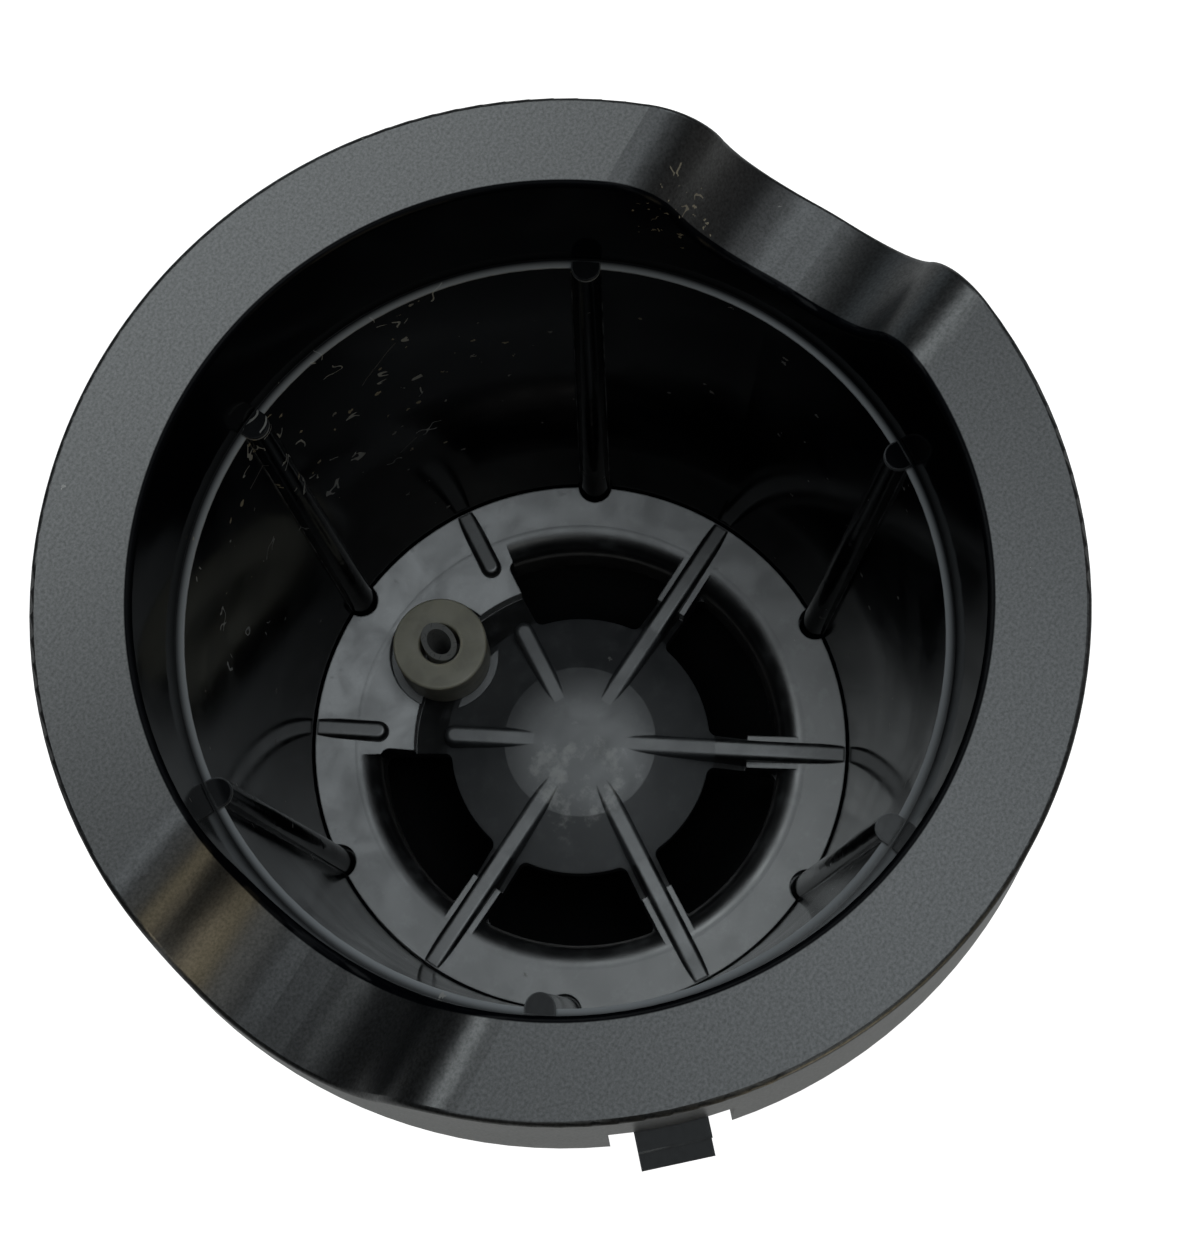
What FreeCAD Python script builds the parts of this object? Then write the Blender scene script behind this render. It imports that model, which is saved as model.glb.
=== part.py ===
"""Single-serve coffee pod holder with an off-centre piercing needle.

Millimetres, +Z up. The origin is the centre of the foot that the holder
stands on, the needle is on the +Y side and the finger dips are at +X and -X.
"""
import FreeCAD, Part
import math
import os

import Sketcher

# Driving dimensions: name, value, meaning
SIZES = [
    ("foot_to_floor", 24.0, "foot to the tops of the floor ribs"),
    ("pod_depth", 42.7, "floor ribs to the ledge that carries the pod flange"),
    ("recess_depth", 10.7, "ledge to the top of the rim"),
    ("fit_gap", 0.15, "clearance between mouldings that are assembled once"),
    ("slide_gap", 0.25, "clearance round pieces that pull apart by hand"),
    # Rim ring
    ("rim_outer_radius", 32.2, "outer edge of the rim's top face"),
    ("rim_inner_radius", 26.0, "inner edge of the rim's top face"),
    ("seat_radius", 25.6, "recess wall where it meets the ledge"),
    ("skirt_radius", 33.5, "flared outer face at its lower edge"),
    ("skirt_wall", 1.8, "thickness of the skirt at its lower edge"),
    ("rim_edge_radius", 0.35, "rounding of the rim's two edges"),
    ("dip_depth", 7.1, "finger dip below the rim, at the middle of the rim"),
    ("dip_bottom_width", 2.0, "flat bottom of a finger dip"),
    ("dip_curve_radius", 7.5, "hollow sides of a finger dip"),
    ("dip_shoulder_radius", 5.2, "rounded shoulders of a finger dip"),
    ("dip_slope", 9.0, "degrees that a dip falls towards the outside"),
    ("channel_inner_radius", 27.6, "hollow under the rim, inner wall"),
    ("channel_outer_radius", 30.2, "hollow under the rim, outer wall"),
    ("channel_end", 14.5, "where the hollow stops beside a finger dip"),
    ("rim_top_wall", 2.0, "thickness of the rim's top over the hollow"),
    ("stake_radius", 1.2, "heat-staked post under the rim"),
    ("stake_head_radius", 1.9, "formed head of a post"),
    ("stake_head_height", 0.9, "height of a formed head"),
    ("stake_circle", 28.9, "radius of the circle of posts"),
    # Pod cup
    ("ledge_radius", 25.0, "inner edge of the ledge, top of the cup wall"),
    ("floor_radius", 22.9, "cup wall at the floor"),
    ("cup_wall", 1.9, "thickness of the cup wall"),
    ("flange_thickness", 2.0, "flange under the rim ring"),
    ("wall_rib_top_radius", 1.0, "half-round rib on the wall, at the ledge"),
    ("wall_rib_foot_radius", 1.3, "half-round rib on the wall, at the floor"),
    ("rib_head_height", 0.2, "rib heads above the ledge"),
    ("rib_foot_depth", 2.5, "how far the wall ribs run past the floor"),
    ("collar_radius", 26.2, "collar that the funnel pushes on to"),
    ("collar_height", 11.0, "height of the collar"),
    ("collar_chamfer", 1.0, "sloped top of the collar"),
    ("cup_tail", 7.0, "cup wall below the floor"),
    ("groove_depth", 1.35, "groove of the sealing ring"),
    ("groove_width", 2.0, "width of that groove"),
    ("groove_height", 5.0, "middle of that groove above the cup's end"),
    ("lug_width", 4.6, "locking lug, along the rim"),
    ("lug_reach_radius", 35.1, "tip of a lug"),
    ("lug_top_radius", 34.0, "upper step of a lug"),
    ("lug_height", 3.3, "lug above the ledge"),
    ("lug_step_height", 1.4, "lower step of a lug above the ledge"),
    ("notch_gap", 1.6, "gap between a lug and its notch in the skirt"),
    # Needle plate
    ("plate_wall", 1.9, "thickness of the floor"),
    ("hub_radius", 2.4, "flat top of the dome"),
    ("hub_rise", 0.06, "flat top above the rib tops"),
    ("crown_radius", 6.5, "rounded crown of the dome, where its cone starts"),
    ("crown_drop", 0.4, "lower edge of the crown below the flat top"),
    ("dome_radius", 11.2, "edge of the dome at the windows"),
    ("dome_drop", 4.0, "end of the cone, at the windows' outer edge, below the flat top"),
    ("window_radius", 17.2, "outer edge of the windows"),
    ("window_corner", 0.7, "rounded corners of the windows"),
    ("roll_radius", 2.2, "rounded lip over the windows"),
    ("lip_drop", 0.55, "lip below the rib tops"),
    ("edge_drop", 0.08, "plate's outer edge below the rib tops"),
    ("floor_rib_width", 1.7, "floor rib, below its rounded edges"),
    ("floor_rib_edge", 0.45, "rounding of a floor rib's top edges"),
    ("floor_rib_foot", 2.0, "floor rib, at its foot"),
    ("floor_rib_start", 2.0, "inner ends of the floor ribs"),
    ("spoke_half_width", 1.4, "half of the spoke under a floor rib"),
    ("pad_radius", 14.35, "inner edge of the needle's pad and of the raised spokes"),
    ("pad_drop", 1.2, "inner edge of the pad below the rib tops"),
    ("pad_angle", 73.0, "degrees that the pad covers"),
    ("split_inner_radius", 11.7, "round ends of the short inner ribs"),
    ("split_outer_radius", 16.6, "round ends of the short outer ribs"),
    ("plate_skirt_wall", 1.8, "thickness of the plate's skirt"),
    ("plate_lip_radius", 24.6, "lip under the end of the cup wall"),
    ("plate_lip_height", 1.4, "thickness of that lip"),
    # Needle, its seal and its retainer
    ("needle_offset", 14.2, "needle from the cup's axis"),
    ("needle_radius", 1.4, "outside of the needle tube"),
    ("needle_bore_radius", 0.95, "bore of the needle tube"),
    ("needle_height", 5.8, "needle tip above the floor ribs"),
    ("needle_bevel", 50.0, "degrees of the ground tip from level"),
    ("needle_head_radius", 2.6, "head at the needle's lower end"),
    ("needle_head_height", 0.6, "thickness of that head"),
    ("needle_fit", 0.03, "bonded clearance round the needle"),
    ("boss_radius", 3.7, "seat of the seal"),
    ("seal_seat_drop", 1.9, "seat of the seal below the rib tops"),
    ("moat_radius", 4.7, "spot face round the seal"),
    ("seal_radius", 4.0, "outside of the seal"),
    ("seal_bore_radius", 1.7, "hole of the seal"),
    ("seal_height", 5.3, "height of the seal"),
    ("seal_edge_radius", 0.3, "rounding of the seal's edges"),
    ("lower_boss_radius", 4.2, "boss under the floor that holds the needle"),
    ("lower_boss_drop", 9.0, "end of that boss below the rib tops"),
    ("retainer_wall", 1.1, "wall of the cap that holds the needle's head"),
    ("retainer_overlap", 2.5, "how far the cap goes up the boss"),
    # Outlet funnel and its sealing ring
    ("funnel_wall", 1.7, "wall of the funnel"),
    ("funnel_overlap", 9.0, "how far the funnel goes up the collar"),
    ("funnel_bowl_radius", 22.5, "bowl below the shoulder"),
    ("funnel_bowl_height", 14.0, "upper edge of the cone above the foot"),
    ("funnel_throat_height", 4.5, "lower edge of the cone above the foot"),
    ("spout_radius", 4.2, "bore of the spout"),
    ("spout_lift", 1.0, "end of the spout above the foot"),
    ("foot_radius", 25.5, "outside of the foot"),
    ("funnel_taper_height", 12.0, "where the funnel starts to narrow"),
    ("funnel_edge_radius", 0.6, "rounding of the funnel's outer edges"),
    ("drain_width", 5.0, "drain notches in the foot"),
    ("drain_height", 2.0, "height of the drain notches"),
    ("ring_clearance", 0.15, "sealing ring to the funnel's bore"),
]

RIB_COUNT = 6
SECTOR = 360 / RIB_COUNT
LUG_COUNT = 2
LUG_ANGLE = 45
DIP_COUNT = 2
DRAIN_COUNT = 3
DRAIN_ANGLE = 90
WINDOW_COUNT = RIB_COUNT - 1
FIRST_WINDOW_ANGLE = 150
FULL_RIB_COUNT = RIB_COUNT - 2
FULL_RIB_ANGLE = 180
SPLIT_RIB_ANGLE = 60
SPLIT_RIB_COUNT = RIB_COUNT - FULL_RIB_COUNT
WALL_RIB_ANGLE = 30
STAKE_ANGLE = 60
TOUCH = 0.01

# Levels and sizes that follow from the driving dimensions
FLOOR = "dim.foot_to_floor"
LEDGE = "(dim.foot_to_floor + dim.pod_depth)"
TOP = "(dim.foot_to_floor + dim.pod_depth + dim.recess_depth)"
FLANGE_UNDER = f"({LEDGE} - dim.flange_thickness)"
SKIRT_BORE = "(dim.skirt_radius - dim.skirt_wall)"
FLANGE_RADIUS = f"({SKIRT_BORE} - dim.fit_gap)"
CUP_END = f"({FLOOR} - dim.cup_tail)"
COLLAR_TOP = f"({CUP_END} + dim.collar_height)"
PLATE_LIP_UNDER = f"({CUP_END} - dim.plate_lip_height)"
PLATE_RADIUS = "(dim.floor_radius - dim.fit_gap)"
RIM_MIDDLE = "((dim.rim_outer_radius + dim.rim_inner_radius) / 2)"
DIP_BOTTOM = f"({TOP} - dim.dip_depth + {RIM_MIDDLE} * tan(dim.dip_slope * 1 deg))"
DIP_HALF = "(dim.dip_bottom_width / 2)"
LIP_RADIUS = "(dim.window_radius + dim.roll_radius)"
RIB_HALF = "(dim.floor_rib_width / 2)"
NEEDLE_HEAD_TOP = f"({FLOOR} - dim.lower_boss_drop)"
NEEDLE_END = f"({NEEDLE_HEAD_TOP} - dim.needle_head_height)"
RETAINER_BORE = "(dim.lower_boss_radius + dim.fit_gap)"
FUNNEL_BORE = "(dim.collar_radius + dim.slide_gap)"
FUNNEL_RADIUS = f"({FUNNEL_BORE} + dim.funnel_wall)"
GROOVE_MIDDLE = f"({CUP_END} + dim.groove_height)"
GROOVE_FLOOR = "(dim.collar_radius - dim.groove_depth)"

doc = FreeCAD.newDocument("PodHolder")
sheet = doc.addObject("Spreadsheet::Sheet", "dim")


def fill_sheet():
    """Write each driving dimension to a row of the sheet and name its cell."""
    for row, (name, value, meaning) in enumerate(SIZES, 1):
        sheet.set(f"A{row}", name)
        sheet.set(f"B{row}", str(value))
        sheet.set(f"C{row}", meaning)
        sheet.setAlias(f"B{row}", name)
    doc.recompute()


def size(expression):
    """Present value of an expression on the sheet."""
    return float(sheet.evalExpression(expression))


def new_body(label):
    body = doc.addObject("PartDesign::Body", label)
    body.Label = label
    return body


def datum(body, role):
    """Origin plane or axis of a body, by its role."""
    return next(item for item in body.Origin.OriginFeatures if item.Role == role)


def sketch_on(body, name, role, away=None, turn=0):
    """Sketch on an origin plane, moved away along its normal and turned about the vertical."""
    level = role == "XY_Plane"
    axis = FreeCAD.Vector(0, 0, 1) if level else FreeCAD.Vector(0, 1, 0)
    sketch = body.newObject("Sketcher::SketchObject", name)
    sketch.AttachmentSupport = [(datum(body, role), "")]
    sketch.MapMode = "FlatFace"
    sketch.AttachmentOffset = FreeCAD.Placement(FreeCAD.Vector(), FreeCAD.Rotation(axis, turn))
    if away and level:
        sketch.setExpression("AttachmentOffset.Base.z", away)
    elif away:
        sketch.setExpression("AttachmentOffset.Base.x", f"({away}) * sin({turn} deg)")
        sketch.setExpression("AttachmentOffset.Base.z", f"({away}) * cos({turn} deg)")
    return sketch


def pin(sketch, geometry, point, x, y):
    """Hold a point of the sketch at two expressions from the origin."""
    for kind, expression, axis in (("DistanceX", x, -2), ("DistanceY", y, -1)):
        if expression == "0":
            sketch.addConstraint(Sketcher.Constraint("PointOnObject", geometry, point, axis))
            continue
        rule = Sketcher.Constraint(kind, -1, 1, geometry, point, size(expression))
        sketch.setExpression(f"Constraints[{sketch.addConstraint(rule)}]", expression)


def bind_radius(sketch, geometry, expression):
    rule = Sketcher.Constraint("Radius", geometry, size(expression))
    sketch.setExpression(f"Constraints[{sketch.addConstraint(rule)}]", expression)


def arc_through(start, end, radius):
    """Short arc from start to end with its centre on the left."""
    chord = end - start
    left = FreeCAD.Vector(-chord.y, chord.x, 0).normalize()
    reach = math.sqrt(radius ** 2 - (chord.Length / 2) ** 2)
    centre = (start + end) * 0.5 + left * reach
    return Part.Arc(start, centre - left * radius, end)


def outline(sketch, corners):
    """Close a run of lines and arcs through corners, each held by expressions.

    A corner is (x, y), or (x, y, side, radius) where an arc leaves it that
    turns to the "left" or to the "right".
    """
    points = [FreeCAD.Vector(size(corner[0]), size(corner[1]), 0) for corner in corners]
    ends = []
    for index, corner in enumerate(corners):
        start, end = points[index], points[(index + 1) % len(points)]
        if len(corner) == 2:
            sketch.addGeometry(Part.LineSegment(start, end), False)
            ends.append((1, 2))
        elif corner[2] == "left":
            sketch.addGeometry(arc_through(start, end, size(corner[3])), False)
            ends.append((1, 2))
        else:
            sketch.addGeometry(arc_through(end, start, size(corner[3])), False)
            ends.append((2, 1))
    for index in range(len(corners)):
        following = (index + 1) % len(corners)
        joint = Sketcher.Constraint("Coincident", index, ends[index][1], following, ends[following][0])
        sketch.addConstraint(joint)
    for index, corner in enumerate(corners):
        pin(sketch, index, ends[index][0], corner[0], corner[1])
        if len(corner) == 4:
            bind_radius(sketch, index, corner[3])


def circle(sketch, x, y, radius):
    centre = FreeCAD.Vector(size(x), size(y), 0)
    index = sketch.addGeometry(Part.Circle(centre, FreeCAD.Vector(0, 0, 1), size(radius)), False)
    pin(sketch, index, 3, x, y)
    bind_radius(sketch, index, radius)


def settle(body, feature, before):
    """Make a feature the body's tip and check that it changed the solid."""
    body.Tip = feature
    doc.recompute()
    if feature.Shape.isNull() or abs(feature.Shape.Volume - before) < TOUCH ** 2:
        raise RuntimeError(f"{feature.Label} of {body.Label} changed nothing")
    return feature


def volume_of(body):
    return body.Shape.Volume if body.Tip and not body.Shape.isNull() else 0.0


def turned(body, sketch, name, cut=False, angle=None):
    """Revolve a sketch about its vertical axis, all round or over an angle about its plane."""
    before = volume_of(body)
    feature = body.newObject("PartDesign::Groove" if cut else "PartDesign::Revolution", name)
    feature.Profile = sketch
    feature.ReferenceAxis = (sketch, ["V_Axis"])
    feature.Angle = 360
    if angle:
        feature.Midplane = True
        feature.setExpression("Angle", angle)
    return settle(body, feature, before)


def pushed(body, sketch, name, length, cut=False, back=False, both=False):
    """Pad or pocket a sketch over a length."""
    before = volume_of(body)
    feature = body.newObject("PartDesign::Pocket" if cut else "PartDesign::Pad", name)
    feature.Profile = sketch
    feature.setExpression("Length", length)
    feature.Reversed = back
    if both:
        feature.SideType = "Symmetric"
    return settle(body, feature, before)


def around(body, feature, name, copies, angle=360):
    """Repeat a feature about the vertical axis."""
    before = volume_of(body)
    pattern = body.newObject("PartDesign::PolarPattern", name)
    pattern.Originals = [feature]
    pattern.Axis = (datum(body, "Z_Axis"), [""])
    pattern.Angle = angle
    pattern.Occurrences = copies
    return settle(body, pattern, before)


def rounded(body, name, radius, chosen):
    """Fillet the edges of the tip that the test chooses."""
    before = volume_of(body)
    base = body.Tip
    edges = [f"Edge{index}" for index, edge in enumerate(base.Shape.Edges, 1) if chosen(edge)]
    feature = body.newObject("PartDesign::Fillet", name)
    feature.Base = (base, edges)
    feature.setExpression("Radius", radius)
    return settle(body, feature, before)


def along(edge):
    """Three points inside an edge."""
    first, last = edge.ParameterRange
    return [edge.valueAt(first + (last - first) * share) for share in (0.1, 0.5, 0.9)]


def on_cone(edge, low, high):
    """Whether an edge lies on the cone through two (radius, height) expressions."""
    low_radius, low_height, high_radius, high_height = map(size, low + high)
    lean = (high_radius - low_radius) / (high_height - low_height)
    return all(
        abs(math.hypot(point.x, point.y) - low_radius - lean * (point.z - low_height)) < TOUCH
        for point in along(edge)
    )


def at_height(edge, height):
    return all(abs(point.z - size(height)) < TOUCH for point in along(edge))


def ring_at(edge, radius, height):
    return on_cone(edge, (radius, "0"), (radius, "1")) and at_height(edge, height)


def rim_ring():
    """Grip ring: flared skirt, two finger dips, hollow underside, heat-staked posts."""
    body = new_body("rim_ring")
    section = sketch_on(body, "RimSection", "XZ_Plane")
    outline(section, [
        ("dim.seat_radius", LEDGE),
        ("dim.rim_inner_radius", TOP),
        ("dim.rim_outer_radius", TOP),
        ("dim.skirt_radius", FLANGE_UNDER),
        (SKIRT_BORE, FLANGE_UNDER),
        (SKIRT_BORE, LEDGE),
    ])
    turned(body, section, "RimTurned")

    dip = sketch_on(body, "DipSection", "YZ_Plane")
    curve = "dim.dip_curve_radius"
    outline(dip, [
        (f"-{DIP_HALF} - {curve}", f"{DIP_BOTTOM} + {curve}", "left", curve),
        (f"-{DIP_HALF}", DIP_BOTTOM),
        (DIP_HALF, DIP_BOTTOM, "left", curve),
        (f"{DIP_HALF} + {curve}", f"{DIP_BOTTOM} + {curve}"),
        (f"{DIP_HALF} + {curve}", f"{DIP_BOTTOM} + 2 * {curve}"),
        (f"-{DIP_HALF} - {curve}", f"{DIP_BOTTOM} + 2 * {curve}"),
    ])
    before = volume_of(body)
    cut = body.newObject("PartDesign::Pocket", "Dip")
    cut.Profile = dip
    cut.UseCustomVector = True
    cut.AlongSketchNormal = False
    cut.Direction = FreeCAD.Vector(1, 0, 0)
    cut.setExpression("Direction.x", "cos(dim.dip_slope * 1 deg)")
    cut.setExpression("Direction.z", "-sin(dim.dip_slope * 1 deg)")
    cut.setExpression("Length", "2 * dim.skirt_radius")
    settle(body, cut, before)
    around(body, cut, "Dips", DIP_COUNT)
    rounded(body, "DipShoulders", "dim.dip_shoulder_radius", lambda edge: (
        at_height(edge, TOP) and not ring_at(edge, "dim.rim_outer_radius", TOP)
        and not ring_at(edge, "dim.rim_inner_radius", TOP)))
    rounded(body, "RimEdges", "dim.rim_edge_radius", lambda edge: (
        edge.BoundBox.ZMin > size(LEDGE) + TOUCH and (
            on_cone(edge, ("dim.skirt_radius", FLANGE_UNDER), ("dim.rim_outer_radius", TOP))
            or on_cone(edge, ("dim.seat_radius", LEDGE), ("dim.rim_inner_radius", TOP)))))

    channel = sketch_on(body, "ChannelPlan", "XY_Plane", f"{TOP} - dim.rim_top_wall")
    inner_reach = "sqrt(dim.channel_inner_radius ^ 2 - dim.channel_end ^ 2)"
    outer_reach = "sqrt(dim.channel_outer_radius ^ 2 - dim.channel_end ^ 2)"
    outline(channel, [
        (inner_reach, "dim.channel_end"),
        (outer_reach, "dim.channel_end", "left", "dim.channel_outer_radius"),
        (f"-{outer_reach}", "dim.channel_end"),
        (f"-{inner_reach}", "dim.channel_end", "right", "dim.channel_inner_radius"),
    ])
    hollow = pushed(body, channel, "Channel", f"{TOP} - dim.rim_top_wall - {LEDGE}", cut=True)
    around(body, hollow, "Channels", DIP_COUNT)

    for name, radius, height in (
        ("Posts", "dim.stake_radius", f"{TOP} - dim.rim_top_wall - {FLANGE_UNDER}"),
        ("PostHeads", "dim.stake_head_radius", "dim.stake_head_height"),
    ):
        posts = sketch_on(body, f"{name}Plan", "XY_Plane", FLANGE_UNDER)
        stake_circles(posts, radius)
        pushed(body, posts, name, height)

    notch = sketch_on(body, "NotchPlan", "XY_Plane", FLANGE_UNDER, LUG_ANGLE)
    lug_rectangle(notch, f"{FLANGE_RADIUS} - dim.fit_gap", "dim.lug_reach_radius", "dim.notch_gap")
    notch_height = "dim.flange_thickness + dim.lug_height + dim.notch_gap"
    opened = pushed(body, notch, "LugNotch", notch_height, cut=True, back=True)
    around(body, opened, "LugNotches", LUG_COUNT)
    return body


def stake_circles(sketch, radius):
    """One circle for each of the four posts."""
    x = f"dim.stake_circle * cos({STAKE_ANGLE} deg)"
    y = f"dim.stake_circle * sin({STAKE_ANGLE} deg)"
    for x_sign in ("", "-"):
        for y_sign in ("", "-"):
            circle(sketch, x_sign + x, y_sign + y, radius)


def lug_rectangle(sketch, inner, outer, gap):
    """Rectangle from one radius to another, a lug wide plus a gap at each side."""
    half = f"(dim.lug_width / 2 + {gap})"
    outline(sketch, [
        (inner, f"-{half}"),
        (outer, f"-{half}"),
        (outer, half),
        (inner, half),
    ])


def pod_cup():
    """Tapered cup with its flange, wall ribs, locking lugs and funnel collar."""
    body = new_body("pod_cup")
    section = sketch_on(body, "CupSection", "XZ_Plane")
    outline(section, [
        ("dim.ledge_radius", LEDGE),
        ("dim.floor_radius", FLOOR),
        ("dim.floor_radius", CUP_END),
        ("dim.collar_radius", CUP_END),
        ("dim.collar_radius", COLLAR_TOP),
        ("dim.floor_radius + dim.cup_wall", f"{COLLAR_TOP} + dim.collar_chamfer"),
        ("dim.ledge_radius + dim.cup_wall", FLANGE_UNDER),
        (FLANGE_RADIUS, FLANGE_UNDER),
        (FLANGE_RADIUS, LEDGE),
    ])
    turned(body, section, "CupTurned")

    groove = sketch_on(body, "GrooveSection", "XZ_Plane")
    outline(groove, [
        (GROOVE_FLOOR, f"{GROOVE_MIDDLE} - dim.groove_width / 2"),
        ("dim.collar_radius + dim.fit_gap", f"{GROOVE_MIDDLE} - dim.groove_width / 2"),
        ("dim.collar_radius + dim.fit_gap", f"{GROOVE_MIDDLE} + dim.groove_width / 2"),
        (GROOVE_FLOOR, f"{GROOVE_MIDDLE} + dim.groove_width / 2"),
    ])
    turned(body, groove, "RingGroove", cut=True)

    foot = sketch_on(body, "RibFoot", "XY_Plane", f"{FLOOR} - dim.rib_foot_depth", WALL_RIB_ANGLE)
    circle(foot, "dim.floor_radius", "0", "dim.wall_rib_foot_radius")
    head = sketch_on(body, "RibHead", "XY_Plane", LEDGE, WALL_RIB_ANGLE)
    rib_top = "dim.wall_rib_top_radius"
    circle(head, "dim.ledge_radius", "0", rib_top)
    before = volume_of(body)
    rib = body.newObject("PartDesign::AdditiveLoft", "WallRib")
    rib.Profile = foot
    rib.Sections = [head]
    rib.Ruled = True
    settle(body, rib, before)
    around(body, rib, "WallRibs", RIB_COUNT)

    tab = sketch_on(body, "RibTabPlan", "XY_Plane", LEDGE, WALL_RIB_ANGLE)
    outline(tab, [
        ("dim.ledge_radius", rib_top, "left", rib_top),
        (f"dim.ledge_radius - {rib_top}", "0", "left", rib_top),
        ("dim.ledge_radius", f"-{rib_top}"),
        (FLANGE_RADIUS, f"-{rib_top}"),
        (FLANGE_RADIUS, rib_top),
    ])
    raised = pushed(body, tab, "RibTab", "dim.rib_head_height")
    around(body, raised, "RibTabs", RIB_COUNT)
    trim = sketch_on(body, "RibTrimSection", "XZ_Plane")
    outline(trim, [
        ("dim.seat_radius - dim.fit_gap", LEDGE),
        ("dim.skirt_radius", LEDGE),
        ("dim.skirt_radius", f"{LEDGE} + 2 * dim.rib_head_height"),
        ("dim.seat_radius - dim.fit_gap", f"{LEDGE} + 2 * dim.rib_head_height"),
    ])
    turned(body, trim, "RibTrim", cut=True)

    holes = sketch_on(body, "PostHoles", "XY_Plane", LEDGE)
    stake_circles(holes, "dim.stake_radius + dim.fit_gap")
    pushed(body, holes, "PostHolesCut", "dim.flange_thickness", cut=True)
    sinks = sketch_on(body, "HeadSinks", "XY_Plane", FLANGE_UNDER)
    stake_circles(sinks, "dim.stake_head_radius + dim.fit_gap")
    pushed(body, sinks, "HeadSinksCut", "dim.stake_head_height + dim.fit_gap", cut=True, back=True)

    lug_base = sketch_on(body, "LugPlan", "XY_Plane", FLANGE_UNDER, LUG_ANGLE)
    lug_root = f"({FLANGE_RADIUS} - dim.fit_gap)"
    lug_rectangle(lug_base, lug_root, "dim.lug_reach_radius", "0")
    step = pushed(body, lug_base, "Lug", "dim.flange_thickness + dim.lug_step_height")
    around(body, step, "Lugs", LUG_COUNT)
    lug_top = sketch_on(body, "LugTopPlan", "XY_Plane", LEDGE, LUG_ANGLE)
    lug_rectangle(lug_top, f"{lug_root} + dim.fit_gap", "dim.lug_top_radius", "0")
    upper = pushed(body, lug_top, "LugTop", "dim.lug_height")
    around(body, upper, "LugTops", LUG_COUNT)
    return body


def floor_rib(body, name, start, end, turn, copies, round_end=None):
    """Radial rib with rounded top edges and perhaps one round end, repeated from an angle on."""
    edge = "dim.floor_rib_edge"
    flat = f"({RIB_HALF} - {edge})"
    half_foot = "(dim.floor_rib_foot / 2)"
    foot = f"({FLOOR} - dim.dome_drop - dim.plate_wall / 2)"
    shoulder = f"({FLOOR} - {edge})"
    section = sketch_on(body, f"{name}Section", "YZ_Plane", start, turn)
    outline(section, [
        (f"-{half_foot}", foot),
        (half_foot, foot),
        (RIB_HALF, shoulder, "left", edge),
        (flat, FLOOR),
        (f"-{flat}", FLOOR, "left", edge),
        (f"-{RIB_HALF}", shoulder),
    ])
    rib = pushed(body, section, name, f"{end} - {start}")
    around(body, rib, f"{name}s", copies, (copies - 1) * SECTOR)
    if round_end:
        half_section = sketch_on(body, f"{name}EndSection", "YZ_Plane", round_end, turn)
        outline(half_section, [
            ("0", foot),
            (half_foot, foot),
            (RIB_HALF, shoulder, "left", edge),
            (flat, FLOOR),
            ("0", FLOOR),
        ])
        rounding = turned(body, half_section, f"{name}End")
        around(body, rounding, f"{name}Ends", copies, (copies - 1) * SECTOR)


def window_corners():
    """Plan of one window about the X axis, with a rounded corner at both ends of its two spokes."""
    corner = "dim.window_corner"
    beside = f"(dim.spoke_half_width + {corner})"
    cos_half, sin_half = f"cos({SECTOR / 2} deg)", f"sin({SECTOR / 2} deg)"
    ends = []
    for ring, sign in (("dim.dome_radius", "+"), ("dim.window_radius", "-")):
        middle = f"({ring} {sign} {corner})"
        reach = f"sqrt({middle} ^ 2 - {beside} ^ 2)"
        for out, across in (
            (f"({reach} * {ring} / {middle})", f"({beside} * {ring} / {middle})"),
            (reach, "dim.spoke_half_width"),
        ):
            ends.append((f"({out} * {cos_half} + {across} * {sin_half})",
                         f"({out} * {sin_half} - {across} * {cos_half})"))
    (ring_in_x, ring_in_y), (spoke_in_x, spoke_in_y) = ends[:2]
    (ring_out_x, ring_out_y), (spoke_out_x, spoke_out_y) = ends[2:]
    return [
        (ring_in_x, f"-{ring_in_y}", "left", corner),
        (spoke_in_x, f"-{spoke_in_y}"),
        (spoke_out_x, f"-{spoke_out_y}", "left", corner),
        (ring_out_x, f"-{ring_out_y}", "left", "dim.window_radius"),
        (ring_out_x, ring_out_y, "left", corner),
        (spoke_out_x, spoke_out_y),
        (spoke_in_x, spoke_in_y, "left", corner),
        (ring_in_x, ring_in_y, "right", "dim.dome_radius"),
    ]


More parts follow.
